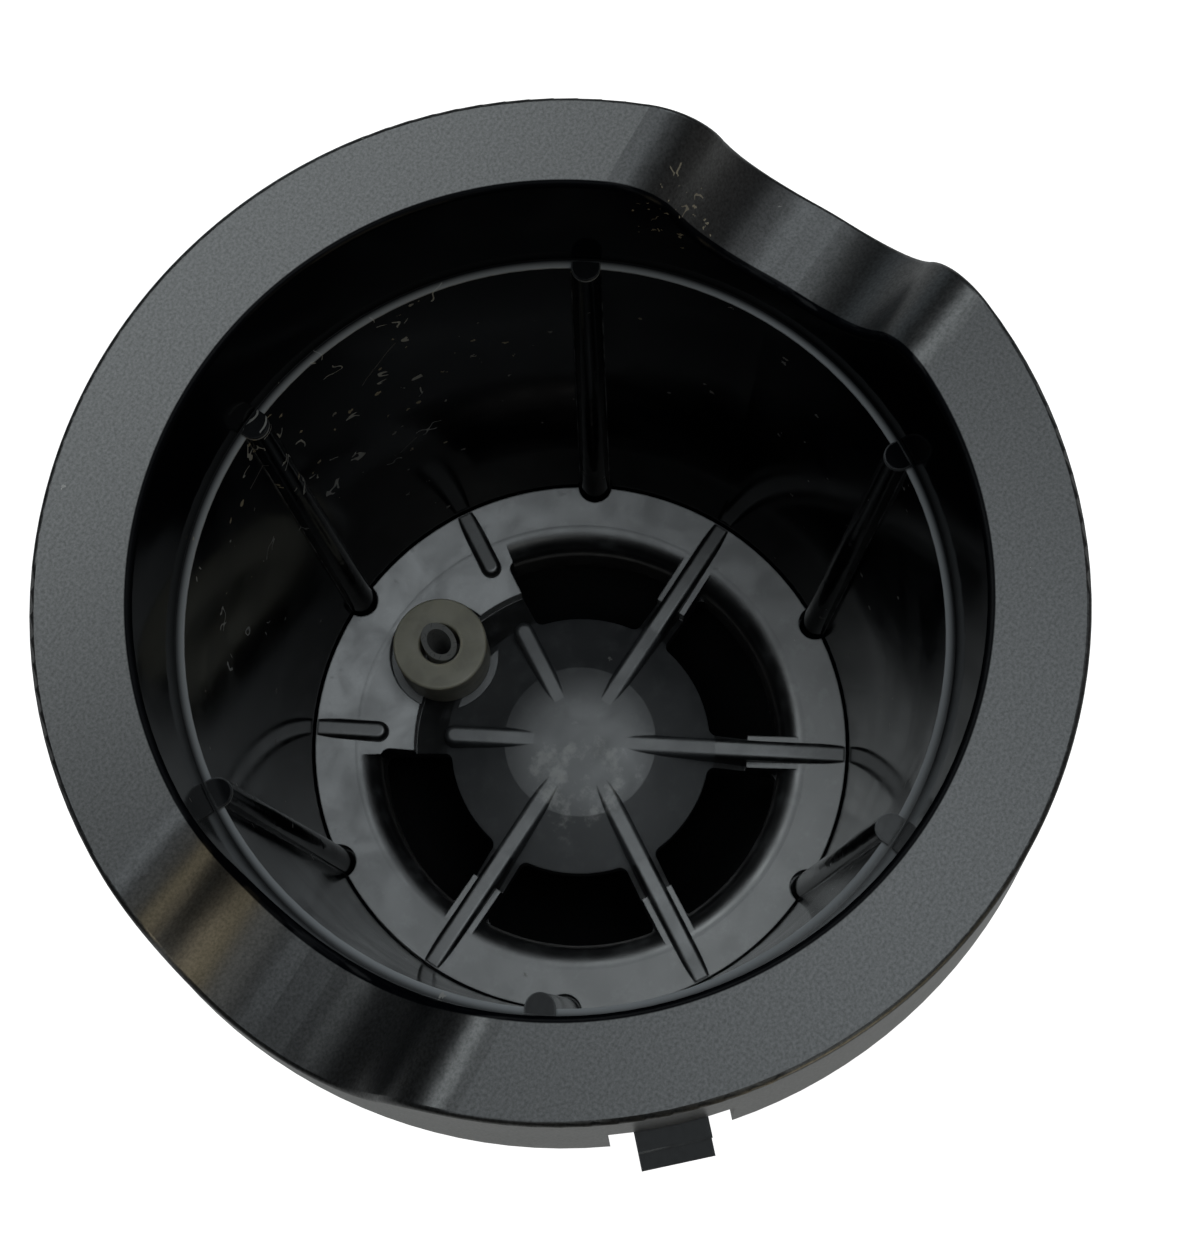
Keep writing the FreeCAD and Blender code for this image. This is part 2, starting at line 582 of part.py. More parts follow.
def needle_plate():
    """Floor: central dome, rolled rim, windows, radial ribs and the needle's pad and boss."""
    body = new_body("needle_plate")
    hub = f"({FLOOR} + dim.hub_rise)"
    crown = f"({hub} - dim.crown_drop)"
    trough = f"({hub} - dim.dome_drop)"
    under = f"({trough} - dim.plate_wall)"
    core = f"({trough} - dim.plate_wall / 2)"
    bulge = "(((dim.crown_radius - dim.hub_radius) ^ 2 + dim.crown_drop ^ 2) / (2 * dim.crown_drop))"
    lip = f"({FLOOR} - dim.lip_drop)"
    skirt_bore = f"({PLATE_RADIUS} - dim.plate_skirt_wall)"
    section = sketch_on(body, "PlateSection", "XZ_Plane")
    outline(section, [
        ("0", hub),
        ("0", f"{hub} - dim.plate_wall"),
        ("dim.hub_radius", f"{hub} - dim.plate_wall", "right", bulge),
        ("dim.crown_radius", f"{crown} - dim.plate_wall"),
        ("dim.window_radius", under),
        (f"{LIP_RADIUS} - dim.plate_wall", under),
        (LIP_RADIUS, f"{lip} - dim.plate_wall"),
        (skirt_bore, f"{lip} - dim.plate_wall"),
        (skirt_bore, PLATE_LIP_UNDER),
        ("dim.plate_lip_radius", PLATE_LIP_UNDER),
        ("dim.plate_lip_radius", CUP_END),
        (PLATE_RADIUS, CUP_END),
        (PLATE_RADIUS, f"{FLOOR} - dim.edge_drop"),
        (LIP_RADIUS, lip, "left", "dim.roll_radius"),
        ("dim.window_radius", f"{lip} - dim.roll_radius"),
        ("dim.window_radius", trough),
        ("dim.crown_radius", crown, "left", bulge),
        ("dim.hub_radius", hub),
    ])
    turned(body, section, "PlateTurned")

    raised = [
        ("dim.pad_radius", trough),
        ("dim.window_radius", core),
        (LIP_RADIUS, f"{lip} - dim.plate_wall / 2"),
        (LIP_RADIUS, lip),
        ("dim.pad_radius", f"{FLOOR} - dim.pad_drop"),
    ]
    pad = sketch_on(body, "PadSection", "YZ_Plane")
    outline(pad, raised)
    turned(body, pad, "NeedlePad", angle="dim.pad_angle")

    window = sketch_on(body, "WindowPlan", "XY_Plane", hub, FIRST_WINDOW_ANGLE)
    outline(window, window_corners())
    opened = pushed(body, window, "Window", "dim.dome_drop + 2 * dim.plate_wall", cut=True)
    around(body, opened, "Windows", WINDOW_COUNT, (WINDOW_COUNT - 1) * SECTOR)

    spoke = sketch_on(body, "SpokeSection", "XZ_Plane", turn=FULL_RIB_ANGLE)
    outline(spoke, raised)
    bridge = pushed(body, spoke, "Spoke", "2 * dim.spoke_half_width", both=True)
    around(body, bridge, "Spokes", FULL_RIB_COUNT, (FULL_RIB_COUNT - 1) * SECTOR)

    rib_start, rib_end = "dim.floor_rib_start", f"({PLATE_RADIUS} - dim.fit_gap)"
    split_inner = f"(dim.split_inner_radius - {RIB_HALF})"
    split_outer = f"(dim.split_outer_radius + {RIB_HALF})"
    floor_rib(body, "FullRib", rib_start, rib_end, FULL_RIB_ANGLE, FULL_RIB_COUNT)
    floor_rib(body, "InnerRib", rib_start, split_inner, SPLIT_RIB_ANGLE, SPLIT_RIB_COUNT, split_inner)
    floor_rib(body, "OuterRib", split_outer, rib_end, SPLIT_RIB_ANGLE, SPLIT_RIB_COUNT, split_outer)

    moat = sketch_on(body, "MoatPlan", "XY_Plane", FLOOR)
    circle(moat, "0", "dim.needle_offset", "dim.moat_radius")
    pushed(body, moat, "Moat", "dim.seal_seat_drop", cut=True)
    seat = sketch_on(body, "SeatPlan", "XY_Plane", core)
    circle(seat, "0", "dim.needle_offset", "dim.boss_radius")
    pushed(body, seat, "SealSeat", f"{FLOOR} - dim.seal_seat_drop - {core}")
    boss = sketch_on(body, "BossPlan", "XY_Plane", NEEDLE_HEAD_TOP)
    circle(boss, "0", "dim.needle_offset", "dim.lower_boss_radius")
    pushed(body, boss, "NeedleBoss", f"{core} - {NEEDLE_HEAD_TOP}")
    hole = sketch_on(body, "NeedleHolePlan", "XY_Plane", FLOOR)
    circle(hole, "0", "dim.needle_offset", "dim.needle_radius + dim.needle_fit")
    pushed(body, hole, "NeedleHole", "dim.lower_boss_drop + dim.plate_wall", cut=True)

    key = sketch_on(body, "KeyPlan", "XY_Plane", FLOOR, WALL_RIB_ANGLE)
    circle(key, "dim.floor_radius", "0", "dim.wall_rib_foot_radius + dim.fit_gap")
    slot = pushed(body, key, "RibKey", "dim.rib_foot_depth + dim.fit_gap", cut=True)
    around(body, slot, "RibKeys", RIB_COUNT)
    return body


def on_needle_axis(body):
    body.setExpression("Placement.Base.y", "dim.needle_offset")
    return body


def piercing_needle():
    """Steel tube with a ground point and a head at its lower end."""
    body = on_needle_axis(new_body("piercing_needle"))
    tip = f"({FLOOR} + dim.needle_height)"
    section = sketch_on(body, "NeedleSection", "XZ_Plane")
    outline(section, [
        ("dim.needle_bore_radius", NEEDLE_END),
        ("dim.needle_head_radius", NEEDLE_END),
        ("dim.needle_head_radius", NEEDLE_HEAD_TOP),
        ("dim.needle_radius", NEEDLE_HEAD_TOP),
        ("dim.needle_radius", tip),
        ("dim.needle_bore_radius", tip),
    ])
    turned(body, section, "NeedleTurned")
    bevel = sketch_on(body, "BevelSection", "YZ_Plane")
    outline(bevel, [
        ("dim.needle_radius", tip),
        ("-2 * dim.needle_radius", tip),
        ("-2 * dim.needle_radius", f"{tip} - 3 * dim.needle_radius * tan(dim.needle_bevel * 1 deg)"),
    ])
    pushed(body, bevel, "Bevel", "4 * dim.needle_radius", cut=True, both=True)
    return body


def needle_seal():
    """Soft sleeve that seals the pod's foil round the needle."""
    body = on_needle_axis(new_body("needle_seal"))
    seat = f"({FLOOR} - dim.seal_seat_drop)"
    crown = f"({seat} + dim.seal_height)"
    section = sketch_on(body, "SealSection", "XZ_Plane")
    outline(section, [
        ("dim.seal_bore_radius", seat),
        ("dim.seal_radius", seat),
        ("dim.seal_radius", crown),
        ("dim.seal_bore_radius", crown),
    ])
    turned(body, section, "SealTurned")
    rounded(body, "SealEdges", "dim.seal_edge_radius", lambda edge: at_height(edge, crown))
    return body


def needle_retainer():
    """Cap on the boss that holds the needle by its head."""
    body = on_needle_axis(new_body("needle_retainer"))
    outside = f"({RETAINER_BORE} + dim.retainer_wall)"
    brim = f"({NEEDLE_HEAD_TOP} + dim.retainer_overlap)"
    section = sketch_on(body, "RetainerSection", "XZ_Plane")
    outline(section, [
        ("dim.needle_radius", f"{NEEDLE_END} - dim.retainer_wall"),
        (outside, f"{NEEDLE_END} - dim.retainer_wall"),
        (outside, brim),
        (RETAINER_BORE, brim),
        (RETAINER_BORE, NEEDLE_END),
        ("dim.needle_radius", NEEDLE_END),
    ])
    turned(body, section, "RetainerTurned")
    return body


def outlet_funnel():
    """Pull-off funnel: bore, shoulder, bowl, spout and the skirt that the holder stands on."""
    body = new_body("outlet_funnel")
    mouth = f"({CUP_END} + dim.funnel_overlap)"
    spout_outside = "(dim.spout_radius + dim.funnel_wall)"
    bowl_outside = "(dim.funnel_bowl_radius + dim.funnel_wall)"
    skirt_bore = f"({FUNNEL_RADIUS} - dim.funnel_wall)"
    section = sketch_on(body, "FunnelSection", "XZ_Plane")
    outline(section, [
        (FUNNEL_BORE, mouth),
        (FUNNEL_BORE, PLATE_LIP_UNDER),
        ("dim.funnel_bowl_radius", PLATE_LIP_UNDER),
        ("dim.funnel_bowl_radius", "dim.funnel_bowl_height"),
        ("dim.spout_radius", "dim.funnel_throat_height"),
        ("dim.spout_radius", "dim.spout_lift"),
        (spout_outside, "dim.spout_lift"),
        (spout_outside, "dim.funnel_throat_height - dim.funnel_wall"),
        (bowl_outside, "dim.funnel_bowl_height - dim.funnel_wall"),
        (bowl_outside, f"{PLATE_LIP_UNDER} - dim.funnel_wall"),
        (skirt_bore, f"{PLATE_LIP_UNDER} - dim.funnel_wall"),
        (skirt_bore, "dim.funnel_taper_height"),
        ("dim.foot_radius - dim.funnel_wall", "0"),
        ("dim.foot_radius", "0"),
        (FUNNEL_RADIUS, "dim.funnel_taper_height"),
        (FUNNEL_RADIUS, mouth),
    ])
    turned(body, section, "FunnelTurned")
    rounded(body, "FunnelEdges", "dim.funnel_edge_radius", lambda edge: (
        ring_at(edge, FUNNEL_RADIUS, mouth) or ring_at(edge, FUNNEL_RADIUS, "dim.funnel_taper_height")))

    drain = sketch_on(body, "DrainPlan", "XY_Plane", turn=DRAIN_ANGLE)
    half = "(dim.drain_width / 2)"
    inner = "(dim.foot_radius - 2 * dim.funnel_wall)"
    outline(drain, [
        (inner, f"-{half}"),
        (FUNNEL_RADIUS, f"-{half}"),
        (FUNNEL_RADIUS, half),
        (inner, half),
    ])
    notch = pushed(body, drain, "Drain", "dim.drain_height", cut=True, back=True)
    around(body, notch, "Drains", DRAIN_COUNT)
    return body


def collar_o_ring():
    """Sealing ring in the groove of the cup's collar."""
    ring = doc.addObject("Part::Torus", "collar_o_ring")
    ring.Label = "collar_o_ring"
    thickness = f"({FUNNEL_BORE} - dim.ring_clearance - {GROOVE_FLOOR})"
    ring.setExpression("Radius1", f"{GROOVE_FLOOR} + {thickness} / 2")
    ring.setExpression("Radius2", f"{thickness} / 2")
    ring.setExpression("Placement.Base.z", GROOVE_MIDDLE)
    return ring


def check_and_write(bodies):
    """Stop on any failed object, then write one file for each sub-part."""
    doc.recompute()
    for item in doc.Objects:
        if "Invalid" in item.State or "Error" in item.State:
            raise RuntimeError(f"{item.Label} failed: {item.State}")
    for body in bodies:
        if body.Shape.isNull() or not body.Shape.isValid():
            raise RuntimeError(f"{body.Label} has no valid shape")
    os.makedirs("parts", exist_ok=True)
    for body in bodies:
        body.Shape.exportStep(f"parts/{body.Label}.step")
        box = body.Shape.optimalBoundingBox()
        print(f"{body.Label}: {len(body.Shape.Solids)} solid, volume {body.Shape.Volume:.1f}, "
              f"z {box.ZMin:.2f} to {box.ZMax:.2f}, reach {max(box.XMax, box.YMax):.2f}")


fill_sheet()
check_and_write([
    rim_ring(),
    pod_cup(),
    needle_plate(),
    piercing_needle(),
    needle_seal(),
    needle_retainer(),
    outlet_funnel(),
    collar_o_ring(),
])
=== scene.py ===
"""Looks of a single-serve coffee pod holder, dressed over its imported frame.

Sizes are millimetres and angles degrees unless a note says otherwise; meshes are in metres.
A pattern's scale counts its waves or cells in a metre.
The cup's axis is Z, the needle is towards +Y and the finger dips are at +X and -X.
"""
import logging
import math
from dataclasses import dataclass
from enum import Enum

import bpy
from mathutils import Matrix, Vector


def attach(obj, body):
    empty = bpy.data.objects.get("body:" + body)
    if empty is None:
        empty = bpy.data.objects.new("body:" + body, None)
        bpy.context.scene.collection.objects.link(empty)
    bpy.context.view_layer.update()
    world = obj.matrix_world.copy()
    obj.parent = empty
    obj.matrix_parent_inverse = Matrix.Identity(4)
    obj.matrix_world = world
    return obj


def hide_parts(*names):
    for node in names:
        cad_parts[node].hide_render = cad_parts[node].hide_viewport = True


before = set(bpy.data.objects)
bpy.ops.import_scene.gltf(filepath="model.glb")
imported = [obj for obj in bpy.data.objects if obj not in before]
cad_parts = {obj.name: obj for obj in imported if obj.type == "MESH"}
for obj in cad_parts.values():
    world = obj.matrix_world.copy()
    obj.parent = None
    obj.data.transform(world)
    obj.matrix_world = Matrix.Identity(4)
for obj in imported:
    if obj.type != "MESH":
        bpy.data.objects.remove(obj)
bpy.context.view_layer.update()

log = logging.getLogger("pod_holder")

MM = 0.001
QUARTER = 90.0
IMAGE_WIDTH = 1194
IMAGE_HEIGHT = 1246
SENSOR_WIDTH = 36.0

# Body that carries the soft pieces.
HOLDER = "holder"

Colour = tuple[float, float, float]
Place = tuple[float, float, float]
Section = list[tuple[float, float]]
Socket = bpy.types.NodeSocket
Sockets = bpy.types.NodeOutputs

WHITE: Colour = (1.0, 1.0, 1.0)

# Sockets of a Mix node that mixes colours.
MIX_SHARE, MIX_FIRST, MIX_SECOND, MIX_RESULT = 0, 6, 7, 2
# Middle of a noise or a chance value, and the range that holds nearly all of a noise.
MIDDLE = 0.5
NOISE_RANGE = (0.3, 0.7)
# Keeps the level part of a direction.
LEVEL = (1.0, 1.0, 0.0)


class Mark(Enum):
    """Kinds of small marks that use leaves on a surface."""

    DUST = "dust"
    LINT = "lint"
    SCRATCH = "scratches"
    STAIN_AND_SHEEN = "stains_and_sheen"


class NodeSheet:
    """Adds and joins the nodes of one node tree."""

    def __init__(self, tree: bpy.types.NodeTree) -> None:
        """Start on a tree, which is emptied first."""
        self.tree = tree
        self.tree.nodes.clear()

    def node(self, kind: str, inputs: dict | None = None, **settings: object) -> bpy.types.Node:
        """Add a node and fill its sockets.

        Args:
            kind: Name of the node's type.
            inputs: Value or source socket for each input, by its name or number.
            settings: Properties of the node.

        Returns:
            The new node.
        """
        made = self.tree.nodes.new(kind)
        for name, value in settings.items():
            setattr(made, name, value)
        for key, value in (inputs or {}).items():
            self.feed(made.inputs[key], value)
        return made

    def feed(self, target: Socket, value: object) -> None:
        """Join a source socket to an input, or set the input's own value.

        Args:
            target: The input.
            value: Source socket or plain value.
        """
        if isinstance(value, bpy.types.NodeSocket):
            self.tree.links.new(value, target)
        else:
            target.default_value = value

    def maths(self, operation: str, first: object, second: object = 0.0,
              third: object = 0.0) -> Socket:
        """Work out one value from up to three values or source sockets."""
        inputs = dict(enumerate((first, second, third)))
        return self.node("ShaderNodeMath", inputs, operation=operation).outputs[0]

    def product(self, first: object, *others: object) -> Socket:
        """Multiply masks and values.

        Args:
            first: Value or source socket.
            others: Values or source sockets.

        Returns:
            The product's socket.
        """
        result = first
        for other in others:
            result = self.maths("MULTIPLY", result, other)
        return result

    def vectors(self, operation: str, first: object,
                second: object = (0.0, 0.0, 0.0)) -> Sockets:
        """Work out a vector or a value from one or two vectors or source sockets."""
        inputs = dict(enumerate((first, second)))
        return self.node("ShaderNodeVectorMath", inputs, operation=operation).outputs

    def spread(self, value: object, low: float, high: float, to_low: float = 0.0,
               to_high: float = 1.0, smooth: bool = False) -> Socket:
        """Stretch one range of a value on to another.

        Args:
            value: Source socket.
            low: Value that gives to_low.
            high: Value that gives to_high.
            to_low: Result at the low end.
            to_high: Result at the high end.
            smooth: Whether the two ends ease in and out.

        Returns:
            The result's socket.
        """
        inputs = dict(enumerate((value, low, high, to_low, to_high)))
        kind = "SMOOTHSTEP" if smooth else "LINEAR"
        return self.node("ShaderNodeMapRange", inputs, interpolation_type=kind).outputs[0]

    def between(self, mask: Socket, bare: float, full: float) -> Socket:
        """Value that goes from bare, where the mask is 0, to full, where it is 1."""
        return self.spread(mask, 0.0, 1.0, bare, full)

    def rest_of(self, mask: Socket) -> Socket:
        """Mask of all that another mask leaves out."""
        return self.between(mask, 1.0, 0.0)

    def blend(self, share: Socket, first: object, second: object) -> Socket:
        """Mix two colours by the mask of the second one."""
        inputs = {MIX_SHARE: share, MIX_FIRST: first, MIX_SECOND: second}
        return self.node("ShaderNodeMix", inputs, data_type="RGBA").outputs[MIX_RESULT]

    def place(self) -> Socket:
        """Place on the piece, in metres of the shared frame."""
        return self.node("ShaderNodeTexCoord").outputs["Object"]

    def place_mm(self) -> Socket:
        """Place on the piece, in millimetres of the shared frame."""
        return self.vectors("MULTIPLY", self.place(), (1 / MM, 1 / MM, 1 / MM))["Vector"]

    def noise(self, scale: object, detail: float, roughness: float = 0.5,
              distortion: float = 0.0) -> Sockets:
        """Lay a cloudy noise over the piece.

        Args:
            scale: Value or source socket.
            detail: Number of finer layers.
            roughness: Strength of each finer layer.
            distortion: How far the noise is warped.

        Returns:
            The noise's outputs, with its value first.
        """
        return self.node("ShaderNodeTexNoise", {
            "Vector": self.place(), "Scale": scale, "Detail": detail,
            "Roughness": roughness, "Distortion": distortion}).outputs

    def cells(self, place: Socket, scale: Socket) -> tuple[Sockets, Sockets]:
        """Lay a pattern of cells over the piece.

        Args:
            place: Place on the piece, in metres.
            scale: Source socket.

        Returns:
            The pattern's outputs, and three chance values for each cell.
        """
        pattern = self.node("ShaderNodeTexVoronoi", {"Vector": place, "Scale": scale}).outputs
        chance = self.node("ShaderNodeSeparateColor", {"Color": pattern["Color"]}).outputs
        return pattern, chance


def paint(colour: Colour, share: float = 1.0) -> tuple[float, float, float, float]:
    """Colour with full cover, made brighter or darker by a share."""
    return (*(part * share for part in colour), 1.0)


def new_material(name: str) -> tuple[bpy.types.Material, NodeSheet]:
    """Make an empty material.

    Args:
        name: Name of the material.

    Returns:
        The material and the sheet of its nodes.
    """
    made = bpy.data.materials.new(name)
    made.use_nodes = True
    return made, NodeSheet(made.node_tree)


class Effect:
    """A shader node group that several finishes share."""

    name: str = ""
    inputs: dict[str, float] = {}
    outputs: tuple[str, ...] = ("Mask",)

    def __init__(self) -> None:
        """Make the group with its sockets and its nodes."""
        self.group = bpy.data.node_groups.new(self.name, "ShaderNodeTree")
        face = self.group.interface
        for name, value in self.inputs.items():
            socket = face.new_socket(name, in_out="INPUT", socket_type="NodeSocketFloat")
            socket.default_value = value
        for name in self.outputs:
            face.new_socket(name, in_out="OUTPUT", socket_type="NodeSocketFloat")
        sheet = NodeSheet(self.group)
        given = sheet.node("NodeGroupInput").outputs
        results = self.draw(sheet, given)
        sheet.node("NodeGroupOutput", dict(zip(self.outputs, results)))

    def draw(self, sheet: NodeSheet, given: Sockets) -> list[Socket]:
        """Lay out the group's nodes between its inputs and one socket for each output."""
        raise NotImplementedError

    def put(self, sheet: NodeSheet, **values: object) -> Sockets:
        """Put the group into a material.

        Args:
            sheet: Node tree of the material.
            values: Values or source sockets of the group's inputs.

        Returns:
            The group's outputs.
        """
        made = sheet.node("ShaderNodeGroup", node_tree=self.group)
        for name, value in values.items():
            sheet.feed(made.inputs[name], value)
        return made.outputs


class MouldGrain(Effect):
    """Fine spark-eroded grain of a moulded surface."""

    name = "mould_grain"
    inputs = {"Scale": 4000.0}
    outputs = ("Height", "Tone")
    ripple_scale: float = 0.3
    ripple_height: float = 0.4

    def draw(self, sheet: NodeSheet, given: Sockets) -> list[Socket]:
        """Mix fine pits with a coarser ripple.

        Args:
            sheet: Node tree of the group.
            given: Sockets of the group's inputs.

        Returns:
            The grain's height, and its light and dark.
        """
        fine = sheet.noise(given["Scale"], detail=2.0, roughness=0.6)[0]
        ripple = sheet.noise(sheet.product(given["Scale"], self.ripple_scale), detail=1.0)[0]
        height = sheet.maths("MULTIPLY_ADD", ripple, self.ripple_height, fine)
        return [height, sheet.spread(fine, *NOISE_RANGE)]


class Smears(Effect):
    """Wide, soft smears where a surface has been handled."""

    name = "smears"
    inputs = {"Scale": 120.0}

    def draw(self, sheet: NodeSheet, given: Sockets) -> list[Socket]:
        """Stretch a warped noise over the mask's full range."""
        cloud = sheet.noise(given["Scale"], detail=4.0, roughness=0.55, distortion=0.6)[0]
        return [sheet.spread(cloud, *NOISE_RANGE, smooth=True)]


class Dust(Effect):
    """Scattered specks of dry dust."""

    name = "dust"
    inputs = {"Scale": 700.0, "Amount": 0.1, "Width": 0.3}
    wobble_scale: float = 4000.0
    wobble: float = 0.5

    def draw(self, sheet: NodeSheet, given: Sockets) -> list[Socket]:
        """Keep a share of a ragged cell pattern's middles, each of its own size.

        Args:
            sheet: Node tree of the group.
            given: Sockets of the group's inputs.

        Returns:
            The mask.
        """
        ragged = sheet.noise(self.wobble_scale, detail=1.0)["Color"]
        reach = self.wobble * MM
        shift = sheet.vectors("MULTIPLY", ragged, (reach, reach, reach))["Vector"]
        moved = sheet.vectors("ADD", sheet.place(), shift)["Vector"]
        cells, chance = sheet.cells(moved, given["Scale"])
        kept = sheet.maths("LESS_THAN", chance["Red"], given["Amount"])
        size = sheet.product(chance["Green"], given["Width"])
        near = sheet.maths("LESS_THAN", cells["Distance"], size)
        return [sheet.product(kept, near)]


class Lint(Effect):
    """Short curly fibres that lie on a surface."""

    name = "lint"
    inputs = {"Scale": 220.0, "Amount": 0.2, "Width": 0.02}
    reach: float = 0.4

    def draw(self, sheet: NodeSheet, given: Sockets) -> list[Socket]:
        """Keep short stretches of a noise's level lines.

        Args:
            sheet: Node tree of the group.
            given: Sockets of the group's inputs.

        Returns:
            The mask.
        """
        field = sheet.noise(given["Scale"], detail=1.0, distortion=0.8)[0]
        off = sheet.maths("ABSOLUTE", sheet.maths("SUBTRACT", field, MIDDLE))
        line = sheet.maths("LESS_THAN", off, given["Width"])
        cells, chance = sheet.cells(sheet.place(), given["Scale"])
        kept = sheet.maths("LESS_THAN", chance["Red"], given["Amount"])
        near = sheet.maths("LESS_THAN", cells["Distance"], self.reach)
        return [sheet.product(line, kept, near)]


class Scratches(Effect):
    """Straight fine scratches at all angles."""

    name = "scratches"
    inputs = {"Scale": 150.0, "Amount": 0.2, "Width": 0.02}
    reach: float = 0.5

    def draw(self, sheet: NodeSheet, given: Sockets) -> list[Socket]:
        """Cut each kept cell with a plane at a chance angle.

        Args:
            sheet: Node tree of the group.
            given: Sockets of the group's inputs.

        Returns:
            The mask.
        """
        place = sheet.place()
        cells, chance = sheet.cells(place, given["Scale"])
        inside = sheet.vectors("SUBTRACT", place, cells["Position"])["Vector"]
        angle = sheet.vectors("SUBTRACT", cells["Color"], (MIDDLE, MIDDLE, MIDDLE))["Vector"]
        facing = sheet.vectors("NORMALIZE", angle)["Vector"]
        off = sheet.maths("ABSOLUTE", sheet.vectors("DOT_PRODUCT", inside, facing)["Value"])
        line = sheet.maths("LESS_THAN", sheet.product(off, given["Scale"]), given["Width"])
        kept = sheet.maths("LESS_THAN", chance["Blue"], given["Amount"])
        near = sheet.maths("LESS_THAN", cells["Distance"], self.reach)
        return [sheet.product(line, kept, near)]


class StainsAndSheen(Effect):
    """Cloudy patches: dried-drop marks, and also a painted highlight where a pale patch lies on the
    floor's crown.
    """

    name = "stains_and_sheen"
    inputs = {"Scale": 300.0, "Amount": 0.4, "Width": 0.4}

    def draw(self, sheet: NodeSheet, given: Sockets) -> list[Socket]:
        """Keep the peaks of a cloudy noise.

        Args:
            sheet: Node tree of the group.
            given: Sockets of the group's inputs.

        Returns:
            The mask.
        """
        cloud = sheet.noise(given["Scale"], detail=5.0, roughness=0.62)[0]
        lowered = sheet.maths("SUBTRACT", given["Amount"], 1.0)
        peak = sheet.maths("ADD", sheet.spread(cloud, *NOISE_RANGE), lowered)
        share = sheet.maths("DIVIDE", peak, given["Width"])
        return [sheet.spread(share, 0.0, 1.0, smooth=True)]


class EdgeWearAndHighlight(Effect):
    """Thin line along edges, partly worn where handling rubs first and partly a painted highlight
    where edges catch light (the cup, the floor plate and the seal); its Width is in metres.
    """

    name = "edge_wear_and_highlight"
    inputs = {"Width": 0.0002}
    samples: int = 4
    flat: float = 0.99
    sharp: float = 0.85
    edge_patch_scale: float = 300.0
    edge_patch_range: tuple[float, float] = (0.4, 0.65)

    def draw(self, sheet: NodeSheet, given: Sockets) -> list[Socket]:
        """Compare the rounded normal with the true one.

        Args:
            sheet: Node tree of the group.
            given: Sockets of the group's inputs.

        Returns:
            The mask.
        """
        rounded = sheet.node("ShaderNodeBevel", {"Radius": given["Width"]}, samples=self.samples)
        true = sheet.node("ShaderNodeNewGeometry").outputs["Normal"]
        alike = sheet.vectors("DOT_PRODUCT", rounded.outputs[0], true)["Value"]
        edge_line_patches = sheet.noise(self.edge_patch_scale, detail=3.0)[0]
        edge = sheet.spread(alike, self.flat, self.sharp)
        return [sheet.product(edge, sheet.spread(edge_line_patches, *self.edge_patch_range))]


class SoftSpot(Effect):
    """Soft ball about a place."""

    name = "soft_spot"
    inputs = {"X": 0.0, "Y": 0.0, "Z": 0.0, "Reach": 10.0}
    full_share: float = 0.4

    def draw(self, sheet: NodeSheet, given: Sockets) -> list[Socket]:
        """Fade with the distance from the middle.

        Args:
            sheet: Node tree of the group.
            given: Sockets of the group's inputs.

        Returns:
            The mask.
        """
        middle = sheet.node("ShaderNodeCombineXYZ", {axis: given[axis] for axis in "XYZ"})
        away = sheet.vectors("DISTANCE", sheet.place_mm(), middle.outputs[0])["Value"]
        share = sheet.maths("DIVIDE", away, given["Reach"])
        return [sheet.spread(share, 1.0, self.full_share, smooth=True)]


class ZoneMask(Effect):
    """Part of a piece inside a radius and between two heights."""

    name = "zone_mask"
    inputs = {"Radius": 10.0, "Height": 0.0, "Top": 100.0, "Soft": 0.05}
    end_soft: float = 0.05

    def draw(self, sheet: NodeSheet, given: Sockets) -> list[Socket]:
        """Measure from the cup's axis and from the foot.

        Args:
            sheet: Node tree of the group.
            given: Sockets of the group's inputs.

        Returns:
            The mask.
        """
        place = sheet.place_mm()
        level = sheet.vectors("MULTIPLY", place, LEVEL)["Vector"]
        radius = sheet.vectors("LENGTH", level)["Value"]
        height = sheet.node("ShaderNodeSeparateXYZ", {"Vector": place}).outputs["Z"]
        past = sheet.maths("SUBTRACT", radius, given["Radius"])
        inside = sheet.spread(sheet.maths("DIVIDE", past, given["Soft"]), 1.0, -1.0, smooth=True)
        from_low = sheet.maths("SUBTRACT", height, given["Height"])
        from_top = sheet.maths("SUBTRACT", height, given["Top"])
        above = sheet.spread(from_low, -self.end_soft, self.end_soft)
        below = sheet.spread(from_top, self.end_soft, -self.end_soft)
        return [sheet.product(inside, above, below)]


class OutwardMask(Effect):
    """Faces that look away from the cup's axis."""

    name = "outward_mask"
    side_range: tuple[float, float] = (-0.05, 0.1)

    def draw(self, sheet: NodeSheet, given: Sockets) -> list[Socket]:
        """Compare each face's direction with the way out from the axis.

        Args:
            sheet: Node tree of the group.
            given: Sockets of the group's inputs; it has none.

        Returns:
            The mask.
        """
        level = sheet.vectors("MULTIPLY", sheet.place(), LEVEL)["Vector"]
        outward = sheet.vectors("NORMALIZE", level)["Vector"]
        facing = sheet.node("ShaderNodeNewGeometry").outputs["Normal"]
        alike = sheet.vectors("DOT_PRODUCT", outward, facing)["Value"]
        return [sheet.spread(alike, *self.side_range)]


class EffectShelf:
    """The shared effects, each made once, and the materials made with them."""

    def __init__(self) -> None:
        """Make every effect."""
        self.grain = MouldGrain()
        self.smears = Smears()
        self.wear_and_highlight = EdgeWearAndHighlight()
        self.spot = SoftSpot()
        self.zone = ZoneMask()
        self.outward = OutwardMask()
        self.marks = {
            Mark.DUST: Dust(), Mark.LINT: Lint(), Mark.SCRATCH: Scratches(), Mark.STAIN_AND_SHEEN: StainsAndSheen()}
        self.made: dict[str, bpy.types.Material] = {}

    def material_of(self, finish: "Finish") -> bpy.types.Material:
        """Find the material of a finish, or make it on its first use.

        Args:
            finish: The finish.

        Returns:
            Its material.
        """
        if finish.name not in self.made:
            self.made[finish.name] = finish.material(self)
        return self.made[finish.name]


